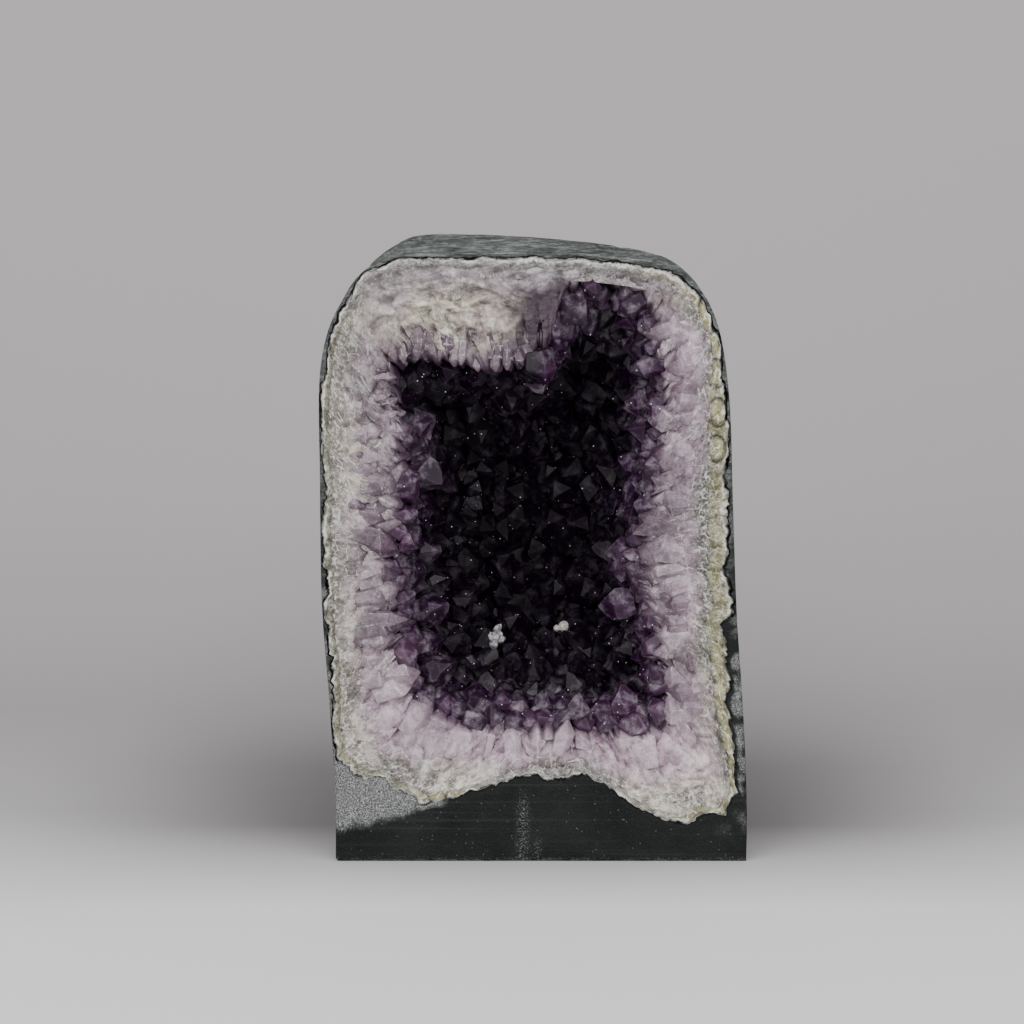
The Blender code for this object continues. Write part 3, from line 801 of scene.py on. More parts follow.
def mosaic(wide, high, across, bend, seed):
    """Cells of about wide by high mm: their height, the distance from a border, and their random numbers."""
    around = int(full_length / wide)
    u = np.broadcast_to(along * around / full_length, across.shape)
    first, second, du, dv, own = cells(u + bend[..., 0], across / high + bend[..., 1], around, seed, 0.9)
    height = facets(du * wide, dv * high, own[..., 2] * TURN, (0.34, 0.24, 0.3))
    return np.concatenate([np.stack([height, (second - first) * min(wide, high)], axis=-1), own], axis=-1)


def blend(share, first, second):
    """Two mosaics as one: heights blend, and borders and random numbers come from the stronger one."""
    share = share[..., None]
    both = np.where(share > 0.5, second, first)
    both[..., :1] = first[..., :1] * (1 - share) + second[..., :1] * share
    return both


def toothed_edge():
    """The edge of the cavity, notched between crystals by up to 5 mm."""
    around = int(full_length / 6)
    u = along[None] * around / full_length
    first, second, _, _, own = cells(u, np.full(u.shape, 0.5), around, 91, 0.7)
    notch = np.clip(1 - 1.5 * (second - first), 0, 1) ** 1.5 * (1.5 + 3.5 * own[..., 0])
    return cavity_reach(quartz_angle) + 0.4 + notch[0]


# %% The quartz surface
def quartz_outer_edge():
    """Under the crust's inner edge, and further out at the top and left, where the crust is only a line."""
    band = band_reach(quartz_angle)
    wander = 0.8 * rocky_noise(place(quartz_angle, band, 0), 11, 79, 4, 0.6)
    spare = rock_reach(quartz_angle) - band - 3.0 + wander
    return band + 1.5 - 4.0 * low_right(quartz_angle) + spare * step(0.82, 0.6, np.cos(quartz_angle))


def quartz_surface():
    share = np.linspace(0, 1, QUARTZ_ROWS)[:, None]
    outer, edge = quartz_outer_edge(), toothed_edge()
    across = (outer - edge) * share
    to_cavity = (outer - edge) - across
    flat = place(quartz_angle, outer - across, 0)
    x, z = outline_xz(flat)
    swirl, cream, violet, smoke, pink = (patches(p, x, z) for p in (SWIRL, CREAM, VIOLET, SMOKE, PINK_AND_LIT))

    bend = [value_noise(flat, 13, s) * 0.35 + value_noise(flat, 3, s + 2) * 0.07 for s in (81, 82)]
    fine, small, large, comb = (
        mosaic(wide, high, across, np.stack(bend, axis=-1), seed)
        for wide, high, seed in ((2.1, 2.3, 101), (4.6, 5.2, 111), (8.5, 13, 121), (4.6, 30, 131))
    )
    growth = share + 0.16 * value_noise(flat, 12, 141) - 0.15 * cream
    to_small, to_large = step(0.06, 0.2, growth), step(0.3, 0.5, growth) * (1 - 0.85 * swirl)
    ceiling = step(150, 175, z) * step(12, -4, x) * step(-62, -56, x) * step(22, 12, to_cavity)
    fine[..., 0] = fine[..., 0] * 0.5 + fine[..., 2] * 0.5
    small[..., 0] = small[..., 0] * 0.7 + small[..., 2] * 1.1
    large[..., 0] = large[..., 0] + small[..., 0] * 0.2 + large[..., 2] * 2.2
    comb[..., 0] = comb[..., 0] * 0.5 + comb[..., 2] * 1.2
    stones = blend(ceiling, blend(to_large, blend(to_small, fine, small), large), comb)

    relief = 1.2 + 2.6 * share + stones[..., 0] * (1 - 0.9 * swirl * (1 - ceiling))
    relief += 0.45 * rocky_noise(flat, 6, 151)
    relief += 3.0 * swirl * np.abs(rocky_noise(flat * (0.7, 1, 1.3), 16, 161, 5, 0.6))
    relief += 3.8 * np.clip(1 - to_cavity / 7, 0, 1) ** 2 + 0.8 * step(2, 0, across)
    face = flat + np.clip(relief, 0.12, 10)[..., None] * (0, 1, 0)

    late = np.linspace(0, 1, ROLL_ROWS + 1)[1:, None]
    inward = wall_points(quartz_angle, 0.34 * late) - wall_points(quartz_angle, 0)
    roll = face[-1] + inward * (1, 0, 1) + late[..., None] * (0, ROLL_DEPTH, 0)
    behind = [place(quartz_angle, outer, depth)[None] for depth in (24, 4)]
    turned = along / full_length * TURN
    streak_at = [STREAK_CIRCLE / TURN * np.cos(turned), STREAK_CIRCLE / TURN * np.sin(turned), across * 0.16]
    streak_at = np.stack(np.broadcast_arrays(*streak_at), axis=-1)
    values = {
        "layer": share + 0 * x, "inside": stones[..., 1], "tint": stones[..., 3],
        "cream": cream, "violet": violet, "smoke": smoke, "pink": pink, "swirl": swirl * (1 - ceiling),
        # depth: how deep the surface lies behind the face; the material paints shade from it.
        "large": np.maximum(to_large, ceiling), "depth": face[..., 1] - front - 2.2 * share,
        "streak": rocky_noise(streak_at, 1.6, 171, 3, 0.6) * (1 - swirl),
    }
    return ring_rows(face, [roll, *behind], values)


# %% Quartz material
def ragged_shade(g, strength):
    """A layer that darkens in small ragged patches, like the shade between grains."""
    return g.ranged(g.noise(330, 7, 0.78), 0.55, 0.42, 0, strength), (0.34, 0.27, 0.31), "MULTIPLY"


def lilac_body(g, wide):
    """Cloudy lilac quartz full of healed cracks, pinker and painted lighter where the mesh says so."""
    threads = [
        (g.times(g.use(WISPS, Scale=scale, Width=width), strength), (0.74, 0.72, 0.73))
        for scale, width, strength in ((140, 0.008, 0.4), (420, 0.018, 0.6), (950, 0.035, 0.6))
    ]
    return g.over(
        g.ramp(wide, (0.32, (0.08, 0.048, 0.07)), (0.5, (0.19, 0.13, 0.168)), (0.66, (0.39, 0.31, 0.36))),
        # Pink and lighter: the quartz's own pink, and painted light from above.
        (g.times("pink", 0.85), (0.74, 0.57, 0.67)),
        (g.ranged(g.noise(300, 6, 0.72), 0.48, 0.68, 0, 0.42), (0.4, 0.345, 0.385)),
        *threads,
    )


def quartz_colour(g):
    wide = g.noise(90, 4, 0.6)
    pale = g.over(
        g.ramp(
            g.noise(800, 7, 0.8),
            (0.41, (0.042, 0.041, 0.034)), (0.5, (0.135, 0.13, 0.112)), (0.6, (0.52, 0.505, 0.455)),
        ),
        (g.ranged(g.noise(55, 5, 0.65), 0.4, 0.62, 0, 0.7), (0.5, 0.5, 0.46), "MULTIPLY"),
    )
    swirling = g.noise(48, 5, 0.54, 2.6, g.squeezed(0.75, 1.3))
    agate = g.over(
        g.ramp(
            swirling, (0.38, (0.13, 0.122, 0.1)), (0.45, (0.33, 0.315, 0.225)),
            (0.51, (0.58, 0.56, 0.395)), (0.6, (0.88, 0.86, 0.71)),
        ),
        (g.ranged(g.maths("SINE", g.times(swirling, 90)), 0.5, 1, 0, 0.5), (0.76, 0.75, 0.7)),
        (g.times(g.use(WISPS, Scale=150, Width=0.025), 0.8), (0.84, 0.83, 0.79)),
    )
    grey = g.ramp(
        swirling, (0.36, (0.12, 0.108, 0.12)), (0.48, (0.26, 0.235, 0.262)), (0.6, (0.6, 0.57, 0.59))
    )
    sugar_share = g.maths("ADD", "layer", g.times_plus(wide, 0.8, -0.4))
    rims = g.use(EDGES, Inside="inside", Width=0.42, Scale=420)
    rims = g.times(rims, g.ranged("swirl", 0, 0.7, 0.55, 0))
    rims = g.times(rims, g.ranged("violet", 0.1, 0.6, 1, 0))
    return g.over(
        pale,
        (g.ranged(sugar_share, 0.08, 0.4), lilac_body(g, wide)),
        ("cream", agate),
        ("violet", (0.066, 0.034, 0.06)),
        (g.times("smoke", 0.8), grey),
        (g.ranged("tint", 0, 1, 0, 0.5), (0.42, 0.34, 0.4), "MULTIPLY"),
        (g.ranged("streak", 0.3, 0.85, 0, 0.35), (0.74, 0.73, 0.72)),
        ragged_shade(g, 0.6),
        # Painted shade: darker where the surface lies deeper behind the face, in the crevices between
        # crystals.
        (g.ranged("depth", 2.4, 6, 0, 0.85), (0.4, 0.3, 0.38), "MULTIPLY"),
        (g.ranged(g.times_plus(wide, 0.14, "layer"), 0.92, 1.12), (0.07, 0.04, 0.075)),
        (rims, (0.78, 0.77, 0.77)),
    )


def quartz_height(g):
    """Sugary near the rock, and nearly smooth toward the cavity."""
    coarse = g.ranged("layer", 0.1, 0.5, 1, 0.15)
    return g.times_plus(g.use(SUGAR, "Height", Scale=950), coarse, g.times(g.noise(700, 4, 0.7), 0.5))


def quartz_roughness(g):
    return g.ranged("large", 0, 1, 0.5, 0.3)


quartz = finish_of("quartz", quartz_colour, quartz_roughness, quartz_height, 0.45, 0.0006, IOR=1.54)

# %% Quartz piece
grid_piece("quartz_wall", *quartz_surface(), quartz, "quartz", smooth=False, replaces=["quartz_lining"])

# %% [markdown]
# ## Amethyst points
#
# A quartz crystal is a six-sided column with a six-sided point. One function grows any number of them at
# once from roots, directions, widths and lengths. No two are alike: sides differ in width, shoulders in
# height, and the tip is off the middle. Every face has an extra point in its middle that knows how far it
# is from the face's edges. That number draws the rubbed edges, which on amethyst are partly a painted
# highlight.


# %% Crystal shapes
CORNERS, EDGE_ANGLE = 25, math.radians(22)
# The last is how many millimetres of painted depth shade amethyst gets under the ceiling at the top left.
FACE_GAP, INTO_BAND, CEILING_PAINTED_SHADE = 0.3, 0.5, 34
TO_FACE_EDGE, LEAST_TO_EDGE = 0.42, 1.4


def unit(vectors):
    return vectors / np.maximum(np.linalg.norm(vectors, axis=-1, keepdims=True), 1e-9)


def crystal_points(roots, axes, widths, lengths, chance):
    """25 points for each crystal: foot, shoulder, tip, then the middles of six sides and six point faces."""
    count = len(roots)
    helper = np.where(np.abs(axes[:, 2:]) < 0.8, [[0, 0, 1]], [[1, 0, 0]])
    side = unit(np.cross(axes, helper))
    other = np.cross(axes, side)
    turn = np.arange(6) * TURN / 6 + chance.uniform(-0.14, 0.14, (count, 6))
    turn = turn + chance.uniform(0, TURN, (count, 1))
    wide = widths[:, None] * chance.uniform(0.8, 1, (count, 6))
    ring = (wide * np.cos(turn))[..., None] * side[:, None]
    ring = ring + (wide * np.sin(turn))[..., None] * other[:, None]
    axis = axes[:, None] * lengths[:, None, None]
    foot = roots[:, None] + ring * 0.8
    shoulder = roots[:, None] + ring + axis * chance.uniform(0.5, 0.74, (count, 6, 1))
    lean = chance.uniform(-0.22, 0.22, (count, 2)) * widths[:, None]
    tip = roots[:, None] + axis + (lean[:, :1] * side + lean[:, 1:] * other)[:, None]
    following = np.roll(shoulder, -1, axis=1)
    sides = (foot + np.roll(foot, -1, axis=1) + shoulder + following) / 4
    tops = (shoulder + following + tip) / 3
    return np.concatenate([foot, shoulder, tip, sides, tops], axis=1)


def crystal_faces(count):
    """Triangles of one crystal, repeated, and the hexagon that closes each foot."""
    triangles = []
    for i in range(6):
        j = (i + 1) % 6
        foot, next_foot, shoulder, next_shoulder, tip, side, top = i, j, 6 + i, 6 + j, 12, 13 + i, 19 + i
        border = (foot, next_foot, next_shoulder, shoulder)
        triangles += [(border[k], border[(k + 1) % 4], side) for k in range(4)]
        triangles += [(shoulder, next_shoulder, top), (next_shoulder, tip, top), (tip, shoulder, top)]
    offset = np.arange(count)[:, None, None] * CORNERS
    hexagon = np.array([[5, 4, 3, 2, 1, 0]])
    return [(np.array(triangles)[None] + offset).reshape(-1, 3), (hexagon[None] + offset).reshape(-1, 6)]


def grow(name, roots, axes, widths, lengths, finish, seed, worn=0, darkness=0, mineral="amethyst"):
    """One piece with all the crystals, their edges rounded by the worn millimetres.

    Crystals that would come out of the open face or reach the rock are left out. Darkness shifts the
    colour toward that of the deep ones, which is partly the deeper purple of amethyst and partly painted
    shade. Amethyst under the ceiling at the top left gets more of that painted shade.
    """
    chance = np.random.default_rng(seed)
    points = crystal_points(roots, unit(axes), widths, lengths, chance)
    x, z = outline_xz(points)
    beyond = np.hypot(x - AXIS[0], z - AXIS[1]) - band_reach(np.arctan2(z - AXIS[1], x - AXIS[0]))
    clear = (beyond < INTO_BAND).all(axis=1) & (points[..., 1].min(axis=1) > front + FACE_GAP)
    points, widths, x, z = points[clear], widths[clear], x[clear], z[clear]
    inside = np.zeros(points.shape[:2])
    inside[:, 13:] = np.maximum(widths[:, None] * TO_FACE_EDGE, LEAST_TO_EDGE)
    height = np.repeat([0, 0.62, 1, 0.3, 0.75], [6, 6, 1, 6, 6])
    # Painted shade: amethyst under the ceiling at the top left is made darker, as if it lay deeper.
    ceiling = CEILING_PAINTED_SHADE * step(176, 194, z) * step(6, -8, x) * (mineral == "amethyst")
    values = {
        "inside": inside, "tint": chance.random((len(points), 1)) + 0 * inside,
        "depth": points[..., 1] - front + darkness + ceiling, "up": np.broadcast_to(height, inside.shape),
        "violet": patches(VIOLET, x, z), "pink": patches(PINK_AND_LIT, x, z),
    }
    piece = new_piece(name, points, crystal_faces(len(points)), values, finish, mineral)
    if worn:
        bevel = piece.modifiers.new("worn edges", "BEVEL")
        bevel.width, bevel.segments = worn * MM, 3
        bevel.limit_method, bevel.angle_limit = "ANGLE", EDGE_ANGLE
        piece.data.shade_smooth()


# %% Amethyst material
def amethyst_colour(g):
    # Darker with depth behind the open face: partly the deeper purple of amethyst, partly painted shade of
    # the cavity.
    depth = g.times_plus(g.noise(60, 3), 22, "depth")
    violet = g.ramp(
        g.maths("DIVIDE", depth, 60), (0.12, (0.18, 0.12, 0.165)), (0.28, (0.08, 0.034, 0.076)),
        (0.48, (0.03, 0.009, 0.034)), (0.75, (0.009, 0.003, 0.011)),
    )
    core = g.ranged(g.times_plus(g.noise(120), 1.6, "inside"), 0.5, 3, 0, 0.6)
    veils = g.ranged(g.noise(170, 6, 0.7), 0.46, 0.7, 0, 0.5)
    # Whitish rubbed edges: partly wear, partly a painted highlight along the edges. They fade out with depth,
    # as painted shade.
    rubbed = g.use(EDGES, Inside="inside", Width=0.3, Scale=400)
    return g.over(
        violet,
        (core, (0.35, 0.28, 0.36), "MULTIPLY"),
        (g.ranged("tint", 0, 1, 0, 0.8), (0.3, 0.25, 0.35), "MULTIPLY"),
        (g.times(veils, g.ranged(depth, 5, 55, 1, 0.17)), (0.42, 0.36, 0.43)),
        (g.times(rubbed, g.ranged(depth, 8, 45, 0.05, 0)), (0.66, 0.62, 0.67)),
        # Painted glints: a few near-white points where facets would mirror the lamps.
        (g.use(SPECKS_AND_GLINTS, Scale=1500, Share=0.005), (0.8, 0.78, 0.8)),
    )


def fine_height(g):
    return g.noise(600, 4, 0.7)


def grown_height(g):
    """Fine roughness over slow waves, because a crystal's face is never quite flat."""
    return g.times_plus(g.noise(130, 3, 0.5), 6, fine_height(g))


def amethyst_roughness(g):
    """Each crystal its own, from glassy to dull, with some variation over its faces."""
    return g.times_plus(g.noise(150, 3), 0.2, g.ranged("tint", 0.2, 0.8, 0.03, 0.37))


amethyst, deep_amethyst = (
    finish_of(
        name, amethyst_colour, amethyst_roughness, grown_height, 0.16, 0.0005, IOR=1.54,
        Specular_IOR_Level=level,
    )
    for name, level in (("amethyst", 0.22), ("deep_amethyst", 0.1))
)


# %% [markdown]
# ## Inside the cavity
#
# The wall of the cavity is dark: partly its own deep purple, partly painted shade. Over a thousand
# crystals stand on it, about square to the wall: wide ones first, then narrower ones that fill the gaps.
# Along the edge stand rows of pale lilac crystals, the ends of those in the quartz wall, with rows of
# violet ones behind them that lean forward.

# %% Cavity wall
BOWL_ROWS, WALL_THICKNESS, MIDDLE_DEPTH, WALL_DARKNESS = 60, 2, 35, 12


def wall_at(angles, latitude):
    """Points of the cavity's wall, and the directions square to it that lead into the cavity."""
    point, small = wall_points(angles, latitude), 0.004
    sideways = wall_points(angles + small, latitude) - wall_points(angles - small, latitude)
    backward = wall_points(angles, latitude + small) - wall_points(angles, latitude - small)
    normal = unit(np.cross(sideways, backward))
    middle = np.array([AXIS[0] + shift, front + MIDDLE_DEPTH, AXIS[1]])
    return point, normal * np.sign(((middle - point) * normal).sum(axis=-1, keepdims=True))


def bowl_grid():
    """The wall as a thin shell: from its outer pole to the rim, and back inside to the inner pole."""
    point, normal = wall_at(circle(300), np.linspace(0.2, np.pi / 2 - 0.02, BOWL_ROWS)[:, None])
    rough = -0.6 + 0.8 * rocky_noise(point, 9, 201)
    inner = point + normal * rough[..., None]
    return np.concatenate([(inner - normal * WALL_THICKNESS)[::-1], inner])


bowl = bowl_grid()
bowl_values = {k: np.full(bowl.shape[:2], v) for k, v in {"inside": 9.0, "tint": 0.5}.items()}
# Painted shade: the wall is shifted WALL_DARKNESS millimetres deeper on the depth ramp, so it is darker.
bowl_values["depth"] = bowl[..., 1] - front + WALL_DARKNESS
grid_piece("cavity_wall", bowl, bowl_values, amethyst, "amethyst", capped=True)


# %% Crystals scattered over the wall
def scatter(tries, spacing, seed, shallow=0.16, deep=1.5):
    """Random places on the wall, each at least the spacing away from all others."""
    chance = np.random.default_rng(seed)
    angles, latitude = chance.uniform(0, TURN, tries), chance.uniform(shallow, deep, tries)
    point, normal = wall_at(angles, latitude)
    chosen = []
    for i in np.flatnonzero(chance.random(tries) < np.cos(latitude) ** 0.8 + 0.05):
        if not chosen or np.linalg.norm(point[chosen] - point[i], axis=1).min() > spacing:
            chosen.append(i)
    return point[chosen], normal[chosen], chance


def stand(places, widths, stretch, spread=0.22, forward=0, sunk=0, sunk_share=0):
    """Roots, axes, widths and lengths of crystals that are about square to the wall at these places."""
    roots, normals, chance = places
    axes = unit(normals + chance.normal(0, spread, normals.shape) - [0, forward, 0])
    width = chance.uniform(*widths, len(roots))
    length = width * chance.uniform(*stretch, len(roots))
    return roots - axes * (sunk + sunk_share * width)[:, None], axes, width, length


for name, tries, spacing, widths, stretch, seed in (
    ("druse_large", 9000, 10, (5.4, 9.6), (1.2, 1.9), 211),
    ("druse_middle", 12000, 7.4, (3.2, 6.2), (1.4, 2.2), 221),
    ("druse_small", 5000, 5.6, (1.8, 3.2), (1.8, 2.8), 231),
):
    druse = stand(scatter(tries, spacing, seed), widths, stretch, sunk_share=0.35)
    grow(name, *druse, deep_amethyst, seed + 1)


# %% Even steps round the mouth
def round_the_mouth(spacing, chance):
    """Directions to places about evenly spaced along the edge of the cavity."""
    even = circle(2000)
    rim = place(even, cavity_reach(even), 0)
    travelled = np.concatenate([[0], np.cumsum(np.linalg.norm(np.diff(rim, axis=0), axis=1))])
    count = int(travelled[-1] / spacing)
    where = (np.arange(count) + chance.uniform(-0.35, 0.35, count)) / count * travelled[-1]
    return np.interp(where, travelled, even), count


def in_the_comb(points):
    """True along the ceiling at the left, where the crystals are narrow and stand close together."""
    x, z = outline_xz(points)
    return (z > 185) & (x > -62) & (x < -2)


def joined(parts):
    """Roots, axes, widths and lengths of several rows of crystals, end to end."""
    return [np.concatenate(block) for block in zip(*parts)]


# %% Crystals of the quartz wall
WALL_ROWS = [
    # tip behind the edge, spacing, widths, lengths, how much deeper than flush
    ((-4.5, 1), 8.4, (5.2, 10), (15, 23), (0.4, 4.5)),
    ((2, 9), 8, (4.4, 8), (12, 19), (0.3, 2.8)),
    ((11, 19), 8, (3, 5.6), (10, 16), (0.5, 2.8)),
]
COMB_LEAN, OTHER_LEAN, SWIRL_LIMIT, RADIUS_SHARE = 0.07, 0.17, 0.25, 0.93
COMB_ROW = ((-2, 3.5), 2.4, (2.2, 3.6), (8, 12), (2.8, 7.5))


def wall_row(row, chance):
    """One row of crystals that point at the cavity and lie flush with the open face, or a little deeper."""
    tips, spacing, widths, lengths, sunk = row
    comb = row is COMB_ROW
    angles, count = round_the_mouth(spacing, chance)
    point, normal = wall_at(angles, np.full(count, 0.12))
    inward = unit(normal * (1, 0, 1))
    axes = unit(inward + chance.normal(0, COMB_LEAN if comb else OTHER_LEAN, (count, 3)) * (1, 0.7, 1))
    width, length = chance.uniform(*widths, count), chance.uniform(*lengths, count)
    tip = place(angles, cavity_reach(angles), 0) - inward * chance.uniform(*tips, count)[:, None]
    root = tip - axes * length[:, None]
    nearest = np.minimum(root[:, 1], tip[:, 1]) - width * RADIUS_SHARE
    root[:, 1] += front - nearest + chance.uniform(*sunk, count)
    x, z = outline_xz(root)
    rock_side = np.hypot(x - AXIS[0], z - AXIS[1]) > band_reach(angles) - 3.0
    wanted = (in_the_comb(point) == comb) & ~rock_side & ((patches(SWIRL, x, z) <= SWIRL_LIMIT) | comb)
    return root[wanted], axes[wanted], width[wanted], length[wanted]


def point_colour(g):
    """Lilac quartz with grey feet and dark tips, painted shade where deep, and painted light where pink."""
    # Painted light: less darkening where the wall is pink.
    light = g.ranged("pink", 0.1, 0.8, 1, 0.25)
    tips = g.ranged("up", 0.55, 1.15, 0, 0.75)
    differ = g.ranged("tint", 0, 1, 0, 0.9)
    rims = g.use(EDGES, Inside="inside", Width=0.24, Scale=420)
    return g.over(
        lilac_body(g, g.noise(90, 4, 0.6)),
        (g.times(tips, light), (0.1, 0.06, 0.1)),
        (g.ranged("up", 0.4, 0, 0, 0.5), (0.42, 0.4, 0.39)),
        (g.times("violet", 0.85), (0.075, 0.04, 0.07)),
        ragged_shade(g, 0.4),
        # Painted shade: darker where a crystal lies deeper behind the face.
        (g.ranged("depth", 4, 12, 0, 0.8), (0.4, 0.28, 0.38), "MULTIPLY"),
        (g.times(differ, light), (0.4, 0.315, 0.385), "MULTIPLY"),
        (g.times(rims, g.ranged(g.noise(140, 3), 0.42, 0.6, 0, 0.42)), (0.8, 0.78, 0.79)),
    )


chance = np.random.default_rng(291)
wall_crystals = joined(wall_row(row, chance) for row in (*WALL_ROWS, COMB_ROW))
clear_quartz = finish_of("clear_quartz", point_colour, 0.26, fine_height, 0.35, 0.0006, IOR=1.54)
grow("wall_crystals", *wall_crystals, clear_quartz, 301, 1.3, mineral="quartz")

# %% Crystals that stand behind the edge
MOUTH_ROWS = [
    # depth, spread of depth, spacing, widths, lengths, lean forward
    (12, 2.5, 7.4, (3.4, 8.4), (8, 13), 0.3),
    (18, 3, 8, (3.6, 9), (9, 14), 0.35),
    (25, 4, 8.6, (3.8, 9.6), (9, 15), 0.4),
]


def mouth_row(depth, spread, spacing, widths, lengths, lean, chance):
    angles, count = round_the_mouth(spacing, chance)
    depths = depth + chance.uniform(-spread, spread, count)
    point, normal = wall_at(angles, np.arcsin((depths / CAVITY_DEPTH) ** (CAVITY_ROUNDNESS / 2)))
    axes = normal + chance.normal(0, 0.3, normal.shape)
    axes = unit(axes - np.outer(chance.uniform(0, lean, count), (0, 1, 0)))
    width, length = chance.uniform(*widths, count), chance.uniform(*lengths, count)
    kept = ~in_the_comb(point) | (depths > 20)
    return point[kept] - axes[kept] * 5.5, axes[kept], width[kept], length[kept]


chance = np.random.default_rng(241)
edge_points = joined(mouth_row(*row, chance) for row in MOUTH_ROWS)
grow("edge_points", *edge_points, amethyst, 251, 0.6, darkness=-1)

# %% Violet crystals round the upper pocket, and paler ones on the floor of the cavity
places, normals, chance = scatter(12000, 6, 321, 0.05, 0.5)
x, z = outline_xz(places)
pocket = (z > 206) & (x > -8) & (x < 60) & (places[:, 1] - front > 5)
pocket = stand((places[pocket], normals[pocket], chance), (3.8, 8.6), (1.6, 2.3), 0.3, 0.35, 4)
# More painted shade in the dark pocket: darkness 8.
grow("pocket_points", *pocket, amethyst, 331, 0.6, darkness=8)

places, normals, chance = scatter(9000, 6.2, 261, 0.14, 0.95)
floor = (normals[:, 2] > 0.55) & (places[:, 2] < 85)
floor = stand((places[floor], normals[floor], chance), (3, 5.6), (1.5, 2.4), 0.25, 0.25, 1.5)
# Much less painted shade on the floor, where light falls from above: darkness -24.
grow("floor_points", *floor, amethyst, 271, 0.35, darkness=-24)


# %% A glassy tuft on the back wall
TUFT_COUNT, TUFT_ANGLE, TUFT_LATITUDE = 9, math.radians(246.4), 0.82


# Painted reflection: the near-white patches stand in for the glitter of clear quartz.
def glassy_colour(g):
    return g.ramp(g.noise(500, 4, 0.7), (0.4, (0.2, 0.19, 0.21)), (0.58, (0.85, 0.84, 0.86)))


chance = np.random.default_rng(311)
tuft_angles = TUFT_ANGLE + chance.normal(0, 0.035, TUFT_COUNT)
root, normal = wall_at(tuft_angles, TUFT_LATITUDE + chance.normal(0, 0.04, TUFT_COUNT))
axes = unit(normal + chance.normal(0, 0.3, (TUFT_COUNT, 3)) - [0, 0.3, 0])
width = chance.uniform(1.4, 2.8, TUFT_COUNT)
glassy = finish_of("glassy_quartz", glassy_colour, 0.12, IOR=1.54)
grow("glassy_tuft", root + normal * 3, axes, width, width * 3.2, glassy, 312, 0.2, mineral="quartz")

# %% [markdown]
# ## The large crystals
#
# The 54 crystals of the CAD model stay where they are, with the same faces. Each face only gets one more
# point, in its middle, so that these crystals carry the same numbers as the others.


# %% Large crystals
def face_loops(node_object):
    """Flat faces of a convex CAD mesh: triangles with one normal joined, corners in order round it."""
    mesh, matrix = node_object.data, np.array(node_object.matrix_world)
    points = np.array([v.co for v in mesh.vertices]) @ matrix[:3, :3].T + matrix[:3, 3]
    points = points / MM
    faces = {}
    for triangle in mesh.polygons:
        corners = points[list(triangle.vertices)]
        normal = unit(np.cross(corners[1] - corners[0], corners[2] - corners[0]))
        for key in faces:
            if np.dot(key[:3], normal) > 0.9995 and abs(np.dot(normal, corners[0]) - key[3]) < 0.05:
                faces[key].append(corners)
                break
        else:
            faces[(*normal, float(np.dot(normal, corners[0])))] = [corners]
    for key, parts in faces.items():
        corners = np.unique(np.concatenate(parts).round(3), axis=0)
        middle = corners.mean(axis=0)
        side = unit(corners[0] - middle)
        up = np.cross(key[:3], side)
        order = np.argsort(np.arctan2((corners - middle) @ up, (corners - middle) @ side))
        yield corners[order], middle


def large_crystals(nodes):
    points, inside, tint, faces = [], [], [], []
    chance = np.random.default_rng(281)
    for node_object in nodes:
        shade = chance.random()
        for corners, middle in face_loops(node_object):
            first, count = len(points), len(corners)
            edges = np.roll(corners, -1, axis=0) - corners
            away = np.linalg.norm(np.cross(middle - corners, unit(edges)), axis=1).min()
            points += [*corners, middle]
            inside += [0] * count + [away]
            tint += [shade] * (count + 1)
            faces += [(first + i, first + (i + 1) % count, first + count) for i in range(count)]
    points = np.array(points)
    return points, [np.array(faces)], {"inside": inside, "tint": tint, "depth": points[:, 1] - front}


bpy.context.view_layer.update()
names = sorted(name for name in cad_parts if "crystal" in name)
large = large_crystals([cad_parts[name] for name in names])
new_piece("large_crystals", *large, amethyst, "amethyst", replaces=names)

# %% [markdown]
# ## Calcite
#
# One white grain of calcite sits on the back wall. It is a few sugary balls grown into each other.


# %% Calcite
def calcite_colour(g):
    grain = g.use(SUGAR, "Lightness", Scale=1500)
    return g.ramp(grain, (0.25, (0.5, 0.45, 0.47)), (0.6, (0.85, 0.82, 0.82)))


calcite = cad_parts["calcite_grain"].data
calcite.materials.clear()
calcite.materials.append(finish_of("calcite", calcite_colour, 0.4, sugary_height, 0.5, 0.0005))

# %% [markdown]
# ## Floor, light and camera
#
# The stone stands on a seamless paper sheet that rises behind it, in soft light from three large lamps:
# one high in front, and one low at each side. The paper's brightness in front, its grey at the back and
# a soft shadow beside the stone are painted into its colour. The crystals mirror the lamps and the pale
# room. In the dark cavity, the darkening with depth is partly painted shade, and small glints are painted.
# The camera looks slightly down on the open face.

# %% Backdrop
STAGE_WIDTH, STAGE_FRONT, STAGE_BACK, STAGE_HEIGHT = 5, -2.6, 1.1, 2.6
BEND, STAGE_DROP = 0.8, 0.0002


def backdrop_profile():
    """Level floor, then a quarter circle, then a wall, as (y, z)."""
    turn = np.linspace(0, np.pi / 2, 24)
    bend = np.stack([STAGE_BACK - BEND + BEND * np.sin(turn), BEND - BEND * np.cos(turn)], axis=-1)
    return np.concatenate([[[STAGE_FRONT, 0]], bend, [[STAGE_BACK, STAGE_HEIGHT]]])


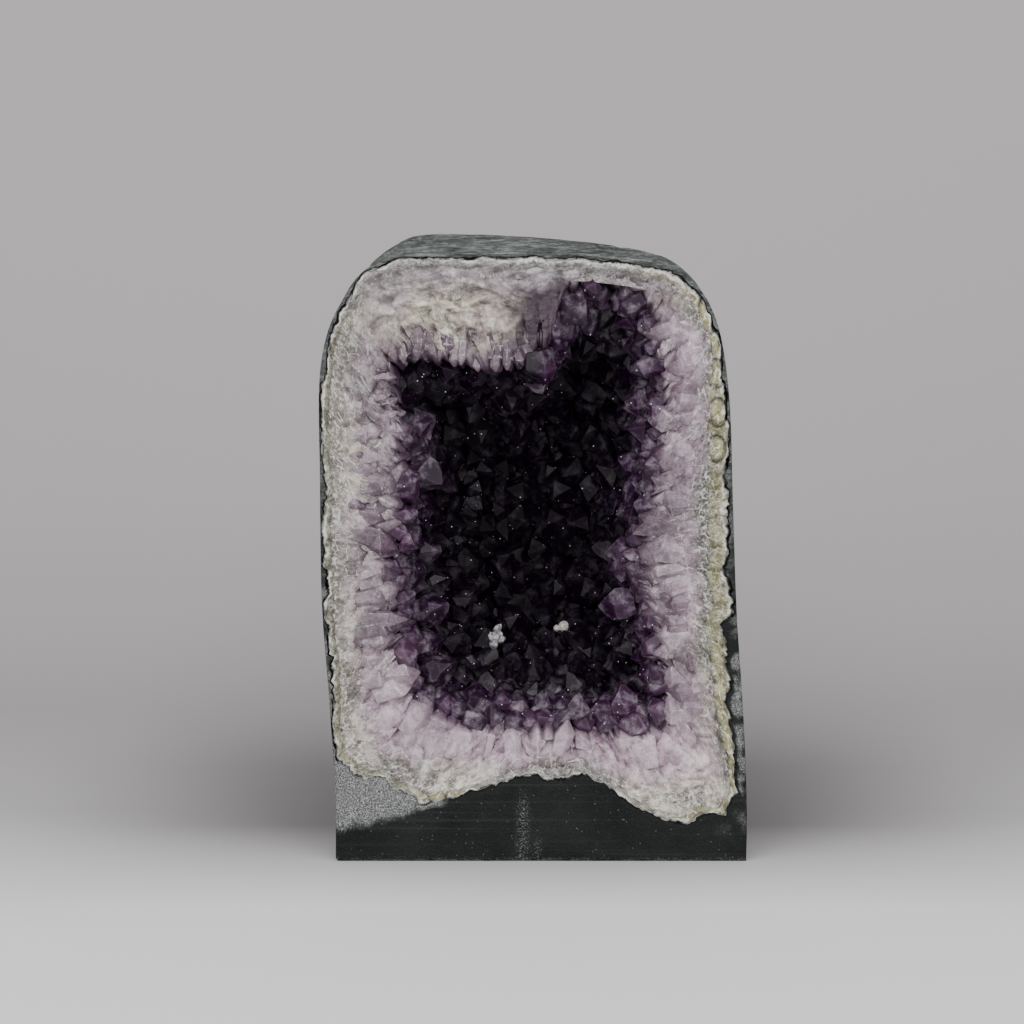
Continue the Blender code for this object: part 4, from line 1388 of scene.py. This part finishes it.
def paper_painted_light_and_shadow(g):
    """Painted light: bright in front of the stone, a soft shadow beside it, and middle grey far behind it."""
    along_x, along_y, _ = g.node("SeparateXYZ", {0: g.here()}).outputs
    share = g.maths("MULTIPLY_ADD", along_y, 0.8, 0.28, clamp=True)
    # Painted light and shadow: the paper is bright in front, dimmer grey at the back, with a dark band beside
    # the stone for its shadow.
    near, far = (0.95, 0.945, 0.945), (0.5, 0.482, 0.49)
    painted_shadow_beside = g.ramp(
        share, (0.17, near), (0.22, (0.62, 0.61, 0.615)), (0.28, (0.23, 0.22, 0.225)),
        (0.38, (0.24, 0.228, 0.234)), (0.5, (0.37, 0.352, 0.36)), (0.8, far),
    )
    away = g.ramp(share, (0.14, near), (0.3, (0.52, 0.51, 0.515)), (0.5, (0.46, 0.445, 0.45)), (0.8, far))
    return g.over(painted_shadow_beside, (g.ranged(g.maths("ABSOLUTE", along_x), 0.08, 0.26), away))


profile = backdrop_profile()
sides = np.array([-STAGE_WIDTH / 2, STAGE_WIDTH / 2])
sheet = np.stack(np.broadcast_arrays(sides[None, :], profile[:, :1], profile[:, 1:] - STAGE_DROP), axis=-1)
first_corners = np.arange(len(profile) - 1)[:, None] * 2
paper_painted_shade = bpy.data.meshes.new("backdrop")
paper_painted_shade.from_pydata(sheet.reshape(-1, 3), [], (first_corners + np.array([[0, 1, 3, 2]])).tolist())
paper_painted_shade.shade_smooth()
paper_painted_shade.materials.append(finish_of("paper_painted_shade", paper_painted_light_and_shadow, 0.9, Specular_IOR_Level=0.1))
backdrop = add("backdrop", paper_painted_shade)


# %% Lamps and room
def aim(made, where, direction):
    """Puts a lamp or camera in its place, looking along the direction."""
    made.location = where
    made.rotation_euler = direction.to_track_quat("-Z", "Y").to_euler()


for name, where, size, power in (
    ("key", (-0.2, -1.4, 2.1), 2.2, 35),
    ("low_right", (1.3, -1.5, 0.75), 1.9, 24),
    ("low_left", (-1.3, -1.45, 0.75), 1.9, 24),
):
    light = bpy.data.lights.new(name, "AREA")
    light.size, light.energy, light.color = size, power, (1, 0.99, 0.98)
    aim(add(name, light), where, Vector((0, 0, 0.13)) - Vector(where))
world = bpy.data.worlds.new("room")
world.use_nodes = True
world.node_tree.nodes["Background"].inputs["Color"].default_value = (0.78, 0.77, 0.79, 1.0)
world.node_tree.nodes["Background"].inputs["Strength"].default_value = 0.4
bpy.context.scene.world = world

# %% Camera
VIEW_HEIGHT, VIEW_SIDE, VIEW_DISTANCE, VIEW_TILT = 0.147, -0.0091, 0.997, math.radians(6)
target = Vector((VIEW_SIDE, front * MM, VIEW_HEIGHT))
back = Vector((0, -math.cos(VIEW_TILT), math.sin(VIEW_TILT)))
lens = bpy.data.cameras.new("camera")
lens.lens, lens.clip_start = 85.0, 0.02
camera = add("camera", lens)
aim(camera, target + back * VIEW_DISTANCE, -back)
bpy.context.scene.camera = camera
print(f"camera {VIEW_DISTANCE:.2f} m from the open face, {math.degrees(VIEW_TILT):.0f} degrees above it")
